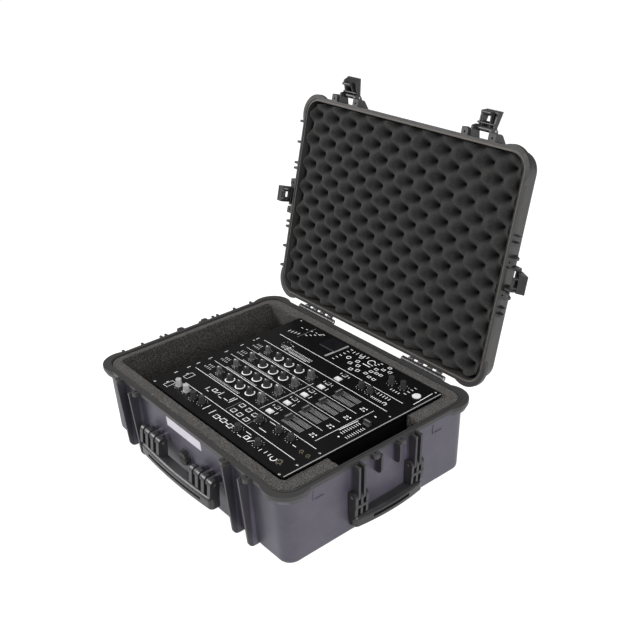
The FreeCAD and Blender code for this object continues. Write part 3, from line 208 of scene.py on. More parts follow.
@dataclass(frozen=True)
class Moulded:
    """Moulded plastic with a fine grain, faint flow marks and rubbed patches."""

    name: str
    colour: Colour
    rubbed: Colour
    roughness: float = 0.46
    grain: float = 0.0011
    grain_depth: float = 0.00012
    rim_z: float = 0.0
    rim_blend: float = 0.0006
    # Painted reflection: the top rim's darker, browner colour stands for its reflection of the dark foam and
    # lid.
    rim_painted_reflection_colour: Colour = (0.0, 0.0, 0.0)
    wall_reach: Place = (1.0, 1.0)
    rib_blend: float = 0.0025
    # Painted shade: the ribs' darker colour stands for the shade that falls on their sides between the walls.
    rib_painted_shade_colour: Colour = (0.0, 0.0, 0.0)

    def material(self) -> bpy.types.Material:
        """Build the node material.

        Returns:
            The material, with a dark brownish colour above rim_z that paints the top rim's reflection of the
            dark foam and lid, and a darker colour beyond the walls' reach that paints shade on the ribs,
            where these are given.
        """
        tree = Tree(self.name)
        cloud = tree.noise(0.09, 4.0, 0.6)
        scuff = tree.ramp(tree.noise(0.02, 6.0, 0.75), [(0.56, 0.0), (0.74, 1.0)])
        colour = tree.mix(tree.ramp(cloud, [(0.35, 0.0), (0.68, 1.0)]), self.colour, self.rubbed)
        colour = tree.mix(tree.maths("MULTIPLY", scuff, 0.35), colour, self.rubbed)
        parts = tree.add("SeparateXYZ", {"Vector": tree.place()}).outputs
        # Painted shade: beyond the walls' reach the ribs turn darker, for the shade on their sides.
        if self.wall_reach[0] < 1.0:
            past_x = tree.maths("SUBTRACT", tree.maths("ABSOLUTE", parts["X"]), self.wall_reach[0])
            past_y = tree.maths("SUBTRACT", tree.maths("ABSOLUTE", parts["Y"]), self.wall_reach[1])
            edges = {"Value": tree.maths("MAXIMUM", past_x, past_y), "From Max": self.rib_blend}
            colour = tree.mix(tree.add("MapRange", edges).outputs["Result"], colour, self.rib_painted_shade_colour)
        # Painted reflection: above rim_z the top rim turns darker and browner, for its reflection of the dark
        # foam and lid.
        if self.rim_z > 0.0:
            edges = {"Value": parts["Z"], "From Min": self.rim_z - self.rim_blend, "From Max": self.rim_z}
            colour = tree.mix(tree.add("MapRange", edges).outputs["Result"], colour, self.rim_painted_reflection_colour)
        shine = tree.maths("ADD", tree.maths("MULTIPLY", cloud, 0.16), self.roughness - 0.08)
        grain = tree.noise(self.grain, 2.0, 0.6)
        waves = tree.bump(tree.noise(0.03, 1.0), 0.0006)
        relief = tree.bump(grain, self.grain_depth, waves)
        return tree.finish(Base_Color=colour, Roughness=shine, Normal=relief)


@dataclass(frozen=True)
class OpenCell:
    """Cut foam whose open cells show as dark pores among paler struts."""

    name: str
    pore: Colour
    body: Colour
    strut: Colour
    cell: float = 0.0016
    fleck_share: float = 0.6
    depth: float = 0.0012
    # Paints shade into the pits: darkens the colour low down in the foam's own height.
    painted_pit_shade: bool = False

    def material(self) -> bpy.types.Material:
        """Build the node material.

        Returns:
            The material: cells for the pores, finer noise for the torn struts, a slow drift of tone and,
            where painted_pit_shade is set, painted shade: a darker tone low down in the foam's own height,
            deepest in the pits.
        """
        tree = Tree(self.name)
        pores = tree.cells(self.cell)
        torn = tree.noise(self.cell * 1.6, 3.0, 0.7)
        both = tree.maths("MULTIPLY", tree.maths("ADD", pores, torn), 0.62)
        low = self.fleck_share
        colour = tree.ramp(both, [(low - 0.22, self.strut), (low, self.body), (low + 0.2, self.pore)])
        drift = tree.ramp(tree.noise(0.05, 3.0), [(0.3, 0.78), (0.7, 1.0)])
        colour = tree.mix(1.0, colour, drift, "MULTIPLY")
        # Painted shade: the colour darkens the lower a point lies in the foam, so the pits look shaded.
        if self.painted_pit_shade:
            level = tree.add("Attribute", attribute_name="height").outputs["Fac"]
            shade = tree.ramp(level, [(0.2, 0.03), (0.5, 0.4), (0.72, 1.0)])
            colour = tree.mix(1.0, colour, shade, "MULTIPLY")
        height = tree.maths("SUBTRACT", 1.0, both)
        return tree.finish(Base_Color=colour, Roughness=0.94, Specular_IOR_Level=0.18,
                           Sheen_Weight=0.12, Sheen_Roughness=0.6, Normal=tree.bump(height, self.depth))


@dataclass(frozen=True)
class Satin:
    """Coated or bare metal and hard plastic with brush marks or a dusty grain."""

    name: str
    colour: Colour
    metallic: float = 0.0
    roughness: float = 0.4
    speck: float = 0.0009
    speck_depth: float = 0.00003
    tone_spread: float = 0.25
    specular: float = 0.5
    patch: tuple[float, float, float, float] | None = None
    patch_colour: Colour = (0.0, 0.0, 0.0)

    def material(self) -> bpy.types.Material:
        """Build the node material.

        Returns:
            The material, with its tone and shine drifting over the surface and a patch of another colour
            where one is given.
        """
        tree = Tree(self.name)
        cloud = tree.noise(0.018, 5.0, 0.6)
        spread = tree.ramp(cloud, [(0.3, 1.0 - self.tone_spread), (0.7, 1.0)])
        base = self.colour
        if self.patch:
            base = tree.mix(tree.inside(self.patch), self.colour, self.patch_colour)
        colour = tree.mix(1.0, base, spread, "MULTIPLY")
        shine = tree.maths("ADD", tree.maths("MULTIPLY", cloud, 0.18), self.roughness - 0.09)
        grain = tree.noise(self.speck, 2.0)
        return tree.finish(Base_Color=colour, Metallic=self.metallic, Roughness=shine,
                           Specular_IOR_Level=self.specular, Normal=tree.bump(grain, self.speck_depth))


@dataclass(frozen=True)
class PaintedGlow:
    """A pale cap or printed mark given a painted glow: it glows a little though it is no lamp."""

    name: str
    colour: Colour
    glow: float = 0.0
    roughness: float = 0.3

    def material(self) -> bpy.types.Material:
        """Build the node material.

        Returns:
            The material, brighter towards the middle of each cloudy patch, with a painted glow from its
            emission.
        """
        tree = Tree(self.name)
        cloud = tree.ramp(tree.noise(0.004, 2.0), [(0.3, 0.8), (0.7, 1.0)])
        colour = tree.mix(1.0, self.colour, cloud, "MULTIPLY")
        # Painted glow: the emission lights the cue buttons and printed legends though nothing in them is lit.
        return tree.finish(Base_Color=colour, Roughness=self.roughness, Emission_Color=colour,
                           Emission_Strength=self.glow, Normal=tree.bump(tree.noise(0.0012), 0.00004))


class Finish(Enum):
    """Every finish of the case and its contents."""

    # The shell's rim and rib colours are painted light: a painted reflection on the top rim and painted shade
    # on the ribs.
    SHELL = Moulded("shell_plastic", (0.067, 0.061, 0.085), (0.1, 0.092, 0.124), rim_z=0.1595,
                    rim_painted_reflection_colour=(0.033, 0.0315, 0.0315), wall_reach=(0.3245, 0.2390),
                    rib_painted_shade_colour=(0.027, 0.0255, 0.031))
    LID = Moulded("lid_plastic", (0.025, 0.0238, 0.0238), (0.036, 0.0345, 0.0345), roughness=0.4)
    FITTING = Moulded("black_plastic", (0.0155, 0.015, 0.0165), (0.03, 0.029, 0.031), roughness=0.38)
    BASE_FOAM = OpenCell("base_foam", (0.009, 0.0082, 0.008), (0.042, 0.0385, 0.036), (0.155, 0.141, 0.124),
                         cell=0.0019)
    # The lid foam carries painted shade in the pits between its tips.
    LID_FOAM = OpenCell("lid_foam", (0.0055, 0.0052, 0.0051), (0.0195, 0.0187, 0.0184), (0.042, 0.04, 0.039),
                        cell=0.0012, depth=0.0004, painted_pit_shade=True)
    SEAL = Satin("seal_rubber", (0.12, 0.106, 0.095), roughness=0.6)
    LABEL = Satin("label", (0.84, 0.81, 0.9), roughness=0.5, tone_spread=0.08)
    STEEL = Satin("steel", (0.5, 0.5, 0.51), metallic=1.0, roughness=0.34)
    PANEL = Satin("panel_black", (0.0045, 0.0042, 0.0047), roughness=0.3, tone_spread=0.2, specular=0.22)
    FOOT = Satin("foot_rubber", (0.02, 0.02, 0.02), roughness=0.8)
    SCREEN = Satin("screen", (0.008, 0.008, 0.01), roughness=0.12)
    SOCKET = Satin("socket_metal", (0.6, 0.55, 0.42), metallic=1.0, roughness=0.25)
    SILVER = Satin("silver_knob", (0.34, 0.345, 0.34), metallic=0.85, roughness=0.3)
    KNOB = Satin("black_knob", (0.03, 0.03, 0.031), roughness=0.5)
    CAP = Satin("fader_cap", (0.03, 0.03, 0.032), roughness=0.42)
    # Painted glow: the cue buttons and the white print glow a little, to look brighter.
    BUTTON = PaintedGlow("button", (0.68, 0.69, 0.7), glow=0.18)
    LEGEND = PaintedGlow("legend_white", (0.95, 0.95, 0.96), glow=0.16, roughness=0.6)
    FAINT_LEGEND = Satin("legend_grey", (0.3, 0.3, 0.305), roughness=0.6, tone_spread=0.15)
    DARK_BUTTON = Satin("dark_button", (0.022, 0.022, 0.024), roughness=0.35, patch=(0.235, 0.27, 0.14, 0.17),
                        patch_colour=(0.75, 0.75, 0.76))
    PANEL_KNOB = Satin("panel_knob", (0.03, 0.03, 0.031), roughness=0.45, patch=(-0.13, -0.07, -0.19, -0.15),
                       patch_colour=(0.45, 0.45, 0.45))


class Workshop:
    """Makes meshes from arrays and hands out finishes, each built once."""

    def __init__(self) -> None:
        """Start with no finish built."""
        self.built: dict[Finish, bpy.types.Material] = {}

    def finish(self, finish: Finish) -> bpy.types.Material:
        """The material of a finish."""
        if finish not in self.built:
            self.built[finish] = finish.value.material()
        return self.built[finish]

    def dress(self, nodes: Sequence[str], finish: Finish) -> None:
        """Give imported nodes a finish.

        Args:
            nodes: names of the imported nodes.
            finish: what they are made of.
        """
        for name in nodes:
            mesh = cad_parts[name].data
            mesh.materials.clear()
            mesh.materials.append(self.finish(finish))
        LOG.info("dressed %s in %s", ", ".join(nodes), finish.value.name)

    def mesh(self, name: str, points: np.ndarray, faces: list[np.ndarray], finish: Finish, body: str,
             smooth: bool = True, slot: str = "") -> bpy.types.Object:
        """Make a piece from points and faces.

        Args:
            name: the piece's name.
            points: an array of points, in metres.
            faces: arrays of faces, each array with rows of one length.
            finish: what it is made of.
            body: the body that it rides on.
            smooth: whether its faces shade smoothly.
            slot: not used.

        Returns:
            The new object.
        """
        data = bpy.data.meshes.new(name)
        rows = [tuple(row) for block in faces for row in block.tolist()]
        data.from_pydata(points.reshape(-1, 3).tolist(), [], rows)
        data.materials.append(self.finish(finish))
        data.polygons.foreach_set("use_smooth", np.full(len(data.polygons), smooth))
        data.update()
        piece = bpy.data.objects.new(name, data)
        bpy.context.scene.collection.objects.link(piece)
        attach(piece, body)
        LOG.info("made %s: %d points, %d faces, rides on %s",
                 name, len(data.vertices), len(data.polygons), body)
        return piece


def grid_faces(rows: int, columns: int, wrap: bool = False) -> np.ndarray:
    """Four-sided faces of a grid of points.

    Args:
        rows: how many rows of points.
        columns: how many points in a row.
        wrap: whether each row closes on itself.

    Returns:
        One row of four point numbers for each face, turning the way that rows then columns give.
    """
    across = np.arange(columns if wrap else columns - 1)
    up = np.arange(rows - 1)
    row, column = np.meshgrid(up, across, indexing="ij")
    following = (column + 1) % columns
    corners = [row * columns + column, row * columns + following, (row + 1) * columns + following,
               (row + 1) * columns + column]
    return np.stack(corners, axis=-1).reshape(-1, 4)


def rounded_loop(half_x: float, half_y: float, radius: float, count: int) -> np.ndarray:
    """Points at even steps round a rectangle with round corners.

    They run anticlockwise from the middle of its right side. The outline is the path of a circle's centre
    pushed out by the radius: straight sides, then quarter arcs.

    Args:
        half_x: half its length along X.
        half_y: half its length along Y.
        radius: the radius of its corners.
        count: how many points.

    Returns:
        An array of count rows of x and y.
    """
    side_x = half_x - radius
    side_y = half_y - radius
    arc = 0.5 * math.pi * radius
    lengths = np.array([side_y, arc, 2 * side_x, arc, 2 * side_y, arc, 2 * side_x, arc, side_y])
    marks = np.concatenate([[0.0], np.cumsum(lengths)])
    along = np.arange(count) * marks[-1] / count
    span = np.clip(np.searchsorted(marks, along, side="right") - 1, 0, len(lengths) - 1)
    rest = along - marks[span]
    turn = rest / radius
    quarter = span // 2 * (0.5 * math.pi)
    centre_x = np.array([side_x, side_x, side_x, -side_x, -side_x, -side_x, -side_x, side_x, side_x])[span]
    centre_y = np.array([0.0, side_y, side_y, side_y, side_y, -side_y, -side_y, -side_y, -side_y])[span]
    is_arc = span % 2 == 1
    angle = quarter + np.where(is_arc, turn, 0.0)
    straight = np.where(is_arc, 0.0, rest)
    x = centre_x + radius * np.cos(angle) - straight * np.sin(angle)
    y = centre_y + radius * np.sin(angle) + straight * np.cos(angle)
    return np.stack([x, y], axis=1)


def bar_faces(count: int, closed: bool) -> np.ndarray:
    """Four-sided faces round a bar of four-cornered sections, with end caps where it is open.

    Args:
        count: how many sections.
        closed: whether the last section joins the first.

    Returns:
        One row of four point numbers for each face.
    """
    row = np.arange(count if closed else count - 1)[:, None]
    corner = np.arange(4)[None]
    following = (row + 1) % count
    after = (corner + 1) % 4
    sides = [row * 4 + corner, row * 4 + after, following * 4 + after, following * 4 + corner]
    faces = np.stack(sides, axis=-1).reshape(-1, 4)
    if closed:
        return faces
    last = (count - 1) * 4
    caps = np.array([[3, 2, 1, 0], [last, last + 1, last + 2, last + 3]])
    return np.concatenate([faces, caps])


def bar_points(path: np.ndarray, width: float, low: float, high: float, closed: bool) -> np.ndarray:
    """Corners of a flat bar along a path.

    At each point of the path the bar reaches half its width to both sides, square to the mean of the
    directions of the two pieces that meet there, and further at a corner so that its width stays the same.

    Args:
        path: rows of x and y.
        width: the bar's width.
        low: its underside.
        high: its top.
        closed: whether the path closes on itself.

    Returns:
        An array of sections, each with four rows of x, y and z.
    """
    ahead = np.roll(path, -1, axis=0) - path
    if not closed:
        ahead[-1] = ahead[-2]
    ahead = ahead / np.linalg.norm(ahead, axis=1, keepdims=True)
    behind = np.roll(ahead, 1, axis=0)
    if not closed:
        behind[0] = ahead[0]
    way = ahead + behind
    way /= np.linalg.norm(way, axis=1, keepdims=True)
    spread = width / 2 / np.maximum((way * ahead).sum(axis=1, keepdims=True), 0.4)
    side = np.stack([-way[:, 1], way[:, 0]], axis=1) * spread
    corners = [(path - side, low), (path + side, low), (path + side, high), (path - side, high)]
    return np.stack([np.column_stack([flat, np.full(len(path), z)]) for flat, z in corners], axis=1)


def ripple(points: np.ndarray, size: float, depth: float, seed: int) -> np.ndarray:
    """A smooth random height over points in space: a mean of sine waves with seeded directions and phases.

    Args:
        points: an array whose last axis is x, y, z.
        size: the length of the shortest wave.
        depth: the height's usual size.
        seed: the number that starts the random draw.

    Returns:
        One height for each point.
    """
    draw = np.random.default_rng(SEED + seed)
    waves = 24
    directions = draw.normal(size=(waves, 3))
    directions /= np.linalg.norm(directions, axis=1, keepdims=True)
    pitch = 2 * math.pi / (size * draw.uniform(1.0, 3.0, waves))
    phase = draw.uniform(0.0, 2 * math.pi, waves)
    total = np.sin(points @ (directions * pitch[:, None]).T + phase).sum(axis=-1)
    return depth * total / math.sqrt(waves / 2)


def standing(across: np.ndarray, above: np.ndarray, back: np.ndarray, place: np.ndarray) -> Matrix:
    """The world matrix of a thing at a place, from the ways of its own X, Y and Z."""
    matrix = np.eye(4)
    matrix[:3] = np.stack([across, above, back, place], axis=1)
    return Matrix(matrix.tolist())


@dataclass
class LowerCase:
    """The case's lower half: moulded shell, cut foam, fittings and handles."""

    shop: Workshop
    fittings: tuple[str, ...] = ("purge_valve_body", "purge_valve_knob", "base_hinge_combs",
                                 "front_handle", "right_handle", "left_handle")
    pins: tuple[str, ...] = ("handle_pins", "hinge_pins")
    brow: float = 0.0025
    brow_share: float = 0.3
    corner: float = 0.032
    pocket_corner: float = 0.010
    recess_back: float = 0.300
    pocket_slack: float = 0.0008
    hub_share: float = 0.02
    underside_share: float = 0.985
    loop_points: int = 1000
    loops_between: tuple[int, ...] = (6, 16, 1, 1, 14, 1, 1, 26, 8)
    tear_size: float = 0.004
    tear_depth: float = 0.00022
    tear_ways: tuple[float, float] = (1.0, 0.7)
    tear_start: float = 0.002
    notch_half: float = 0.102
    notch_floor: float = 0.103
    notch_edge: float = 0.002
    notch_press_share: float = 0.985

    def dress(self) -> None:
        """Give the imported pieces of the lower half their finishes."""
        self.shop.dress(["base_shell"], Finish.SHELL)
        self.shop.dress(["blank_label"], Finish.LABEL)
        self.shop.dress(self.fittings, Finish.FITTING)
        self.shop.dress(self.pins, Finish.STEEL)

    def foam(self) -> bpy.types.Object:
        """Cut the foam insert.

        It is one sheet of loops, each loop a rounded rectangle: up the outer side, over a rounded brow,
        across the level top to the pocket's edge, down the pocket's wall and in over its floor. Each loop
        between two others is their straight blend. Slow ripples push the cut faces in and out, and the points
        over the notch in front of the pocket are pressed down to its floor.

        Returns:
            The foam piece.
        """
        low, high = (np.array(corner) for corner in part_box("base_foam"))
        plate_low, plate_high = (np.array(corner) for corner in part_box("mixer_faceplate"))
        front = plate_high[0] + self.pocket_slack
        half_x = (front + self.recess_back) / 2
        half_y = (plate_high[1] - plate_low[1]) / 2 + self.pocket_slack
        middle = np.array([front - half_x, (plate_high[1] + plate_low[1]) / 2])
        outer = rounded_loop(high[0], high[1], self.corner, self.loop_points)
        inner = rounded_loop(half_x, half_y, self.pocket_corner, self.loop_points) + middle
        points = self.blended(self.stages(outer, inner, middle, low[2], high[2]))
        tears = ripple(points, self.tear_size, self.tear_depth, 1)[..., None]
        points[..., :2] += tears * np.array(self.tear_ways) * (points[..., 2:] > low[2] + self.tear_start)
        above = np.maximum(points[..., 2] - self.notch_floor, 0.0)
        notched = np.abs(points[..., 1] - middle[1]) < self.notch_half
        notched &= points[..., 0] > front - self.notch_edge
        points[..., 2] -= np.where(notched, above * self.notch_press_share, 0.0)
        ring = np.arange(self.loop_points)[None]
        faces = [grid_faces(len(points), self.loop_points, wrap=True)]
        faces.append(ring[:, ::-1])
        faces.append(ring + (len(points) - 1) * self.loop_points)
        piece = self.shop.mesh("foam_insert", points, faces, Finish.BASE_FOAM, "base")
        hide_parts("base_foam")
        return piece

    def stages(self, outer: np.ndarray, inner: np.ndarray, middle: np.ndarray, bottom: float,
               top: float) -> list[tuple[np.ndarray, float]]:
        """The loops where the foam's section turns, from the middle of its underside to that of its pocket.

        Args:
            outer: the foam's outline.
            inner: the pocket's outline.
            middle: the pocket's middle.
            bottom: the height of the underside.
            top: the height of the level top.

        Returns:
            Each loop with its height.
        """
        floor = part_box("mixer_feet")[0][2]
        brow = self.brow
        part = brow * self.brow_share
        outward = np.sign(outer)
        away = np.sign(inner - middle)
        outside = [(outer * self.hub_share, bottom), (outer * self.underside_share, bottom),
                   (outer, top - brow), (outer - part * outward, top - part), (outer - brow * outward, top)]
        pocket = [(inner + brow * away, top), (inner + part * away, top - part), (inner, top - brow),
                  (inner, floor), (middle + (inner - middle) * self.hub_share, floor)]
        return outside + pocket

    def blended(self, stages: list[tuple[np.ndarray, float]]) -> np.ndarray:
        """Loops between the stages, each the straight blend of the stages beside it.

        Args:
            stages: loops with their heights.

        Returns:
            An array of loops, each with rows of x, y and z.
        """
        rows = []
        for (first, first_z), (second, second_z), count in zip(stages, stages[1:], self.loops_between):
            share = np.arange(count)[:, None, None] / count
            flat = first[None] * (1 - share) + second[None] * share
            level = np.broadcast_to(first_z * (1 - share) + second_z * share, (count, len(first), 1))
            rows.append(np.concatenate([flat, level], axis=2))
        last, last_z = stages[-1]
        rows.append(np.concatenate([last, np.full((len(last), 1), last_z)], axis=1)[None])
        return np.concatenate(rows)


@dataclass
class UpperCase:
    """The case's upper half: lid shell, egg-crate foam, seal, hinge combs and latches.

    The foam is laid out over the closed case, with its drops measured up from the parting plane, and is then
    swung back with the lid. The hinge is given as y and z.
    """

    shop: Workshop
    levers: tuple[str, ...] = ("front_left_latch_lever", "front_right_latch_lever",
                               "right_latch_lever", "left_latch_lever")
    open_angle: float = math.radians(103.8)
    hinge: Place = (0.2520, 0.1666)
    parting: float = 0.1694
    pitch: float = 0.0286
    tip_drop: float = 0.003
    valley_drop: float = 0.0275
    back_drop: float = 0.0425
    half: tuple[float, float] = (0.3116, 0.2261)
    corner: float = 0.0323
    grid: tuple[int, int] = (240, 330)
    tip_power: float = 0.55
    wobble_size: float = 0.012
    wobble_depth: float = 0.0004
    pressed_share: float = 0.5

    def dress(self) -> None:
        """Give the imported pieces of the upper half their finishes."""
        self.shop.dress(["lid_shell"], Finish.LID)
        self.shop.dress(["lid_seal"], Finish.SEAL)
        self.shop.dress(("lid_hinge_combs",) + self.levers, Finish.FITTING)
        self.shop.dress(["latch_pins"], Finish.STEEL)

    def opened(self, points: np.ndarray) -> np.ndarray:
        """Swing points of the closed lid back to where it leans.

        Args:
            points: an array whose last axis is x, y, z with the lid closed.

        Returns:
            The same points turned about the hinge line.
        """
        y = points[..., 1] - self.hinge[0]
        z = points[..., 2] - self.hinge[1]
        c = math.cos(-self.open_angle)
        s = math.sin(-self.open_angle)
        turned = [points[..., 0], self.hinge[0] + y * c - z * s, self.hinge[1] + y * s + z * c]
        return np.stack(turned, axis=-1)

    def foam(self) -> bpy.types.Object:
        """Make the egg-crate foam.

        Its height is the product of a cosine along X and one along Y, with full round tips, over a grid whose
        rows shorten round the corners. A skirt and a back close it, and each point keeps its height, from
        which the finish paints shade into the pits.

        Returns:
            The foam piece.
        """
        rows, columns = self.grid
        half_x, half_y = self.half
        y = np.linspace(-half_y, half_y, rows)
        past = np.maximum(np.abs(y) - (half_y - self.corner), 0.0)
        reach = half_x - self.corner + np.sqrt(np.maximum(self.corner ** 2 - past ** 2, 0.0))
        x = np.linspace(-1.0, 1.0, columns)[None, :] * reach[:, None]
        y = np.broadcast_to(y[:, None], x.shape)
        wave = np.cos(math.pi * x / self.pitch) * np.cos(math.pi * y / self.pitch)
        level = (0.5 + 0.5 * wave) ** self.tip_power
        drop = self.valley_drop + (self.tip_drop - self.valley_drop) * level
        face = np.stack([x, y, self.parting + drop], axis=-1)
        face[..., 2] += ripple(face, self.wobble_size, self.wobble_depth, 2)
        points = face.reshape(-1, 3)
        index = np.arange(rows * columns).reshape(rows, columns)
        border = np.concatenate([index[0, :-1], index[:-1, -1], index[-1, :0:-1], index[:0:-1, 0]])
        back = points[border].copy()
        back[:, 2] = self.parting + self.back_drop
        count = len(border)
        first = len(points)
        points = np.concatenate([points, back])
        faces = [grid_faces(rows, columns)[:, ::-1]]
        ring = np.arange(count)
        after = (ring + 1) % count
        faces.append(np.stack([border[ring], border[after], first + after, first + ring], axis=1))
        faces.append(first + ring[None])
        piece = self.shop.mesh("egg_crate_foam", self.opened(points), faces, Finish.LID_FOAM, "lid")
        # This height drives the painted shade in the pits of the lid foam's finish.
        height = piece.data.attributes.new("height", "FLOAT", "POINT")
        height.data.foreach_set("value", np.concatenate([level.ravel(), np.zeros(count)]))
        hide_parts("lid_foam")
        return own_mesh(piece)


@dataclass
class Print:
    """Flat printed marks gathered into one piece.

    They are laid out in millimetres from the middle of the plate, along X and then along Y, and bars keep the
    path, whether it joins up, its width in millimetres and its rise over the plate in metres.
    """

    middle: Place
    top: float
    thickness: float = 0.00022
    arc_points: int = 24
    tick: float = 1.1
    bars: list[tuple[np.ndarray, bool, float, float]] = field(default_factory=list)

    def bar(self, path: list[Place] | np.ndarray, width: float = 1.0, closed: bool = False,
            rise: float = 0.0) -> None:
        """Print a line along a path.

        Args:
            path: its points.
            width: its width.
            closed: whether it joins up.
            rise: how far above the plate it lies.
        """
        self.bars.append((np.array(path, dtype=float), closed, width, rise))

    def outline(self, place: Place, size: Place, width: float = 1.0, turn: float = 0.0) -> None:
        """Print the border of a rectangle, turned by degrees."""
        half = np.array([[1, 1], [-1, 1], [-1, -1], [1, -1]]) * np.array(size) / 2
        c, s = math.cos(math.radians(turn)), math.sin(math.radians(turn))
        self.bar(half @ np.array([[c, s], [-s, c]]) + np.array(place), width, closed=True)

    def arc(self, place: Place, radius: float, low: float, high: float, width: float = 1.5) -> None:
        """Print a part of a circle between two angles in degrees."""
        angle = np.radians(np.linspace(low, high, self.arc_points))
        path = np.column_stack([place[0] + radius * np.cos(angle), place[1] + radius * np.sin(angle)])
        self.bar(path, width)

    def dots(self, place: Place, radius: float, low: float, high: float, count: int) -> None:
        """Print a ring of short ticks between two angles in degrees."""
        for angle in np.radians(np.linspace(low, high, count)):
            way = np.array([math.cos(angle), math.sin(angle)])
            near = np.array(place) + way * (radius - self.tick / 2)
            far = np.array(place) + way * (radius + self.tick / 2)
            self.bar([near, far], self.tick)

    def scale(self, low: Place, high: Place, count: int, mark: Place, width: float = 0.9,
              rise: float = 0.0) -> None:
        """Print a row of equal marks from one place to another.

        Args:
            low: where the first mark's middle is.
            high: where the last mark's middle is.
            count: how many marks.
            mark: the way and length of each mark.
            width: the width of each mark.
            rise: how far above the plate they lie.
        """
        half = np.array(mark) / 2
        for share in np.linspace(0.0, 1.0, count):
            place = np.array(low) * (1 - share) + np.array(high) * share
            self.bar([place - half, place + half], width, rise=rise)

    def piece(self, shop: Workshop, name: str, finish: Finish, body: str = "mixer") -> bpy.types.Object:
        """Make the printed marks as one mesh that rides on a body."""
        points = []
        faces = []
        count = 0
        for path, closed, width, rise in self.bars:
            place = path * 0.001 + np.array(self.middle)
            low = self.top + rise - self.thickness
            block = bar_points(place, width * 0.001, low, low + 2 * self.thickness, closed)
            points.append(block.reshape(-1, 3))
            faces.append(bar_faces(len(path), closed) + count)
            count += 4 * len(path)
        return shop.mesh(name, np.concatenate(points), faces, finish, body, smooth=False, slot="label")


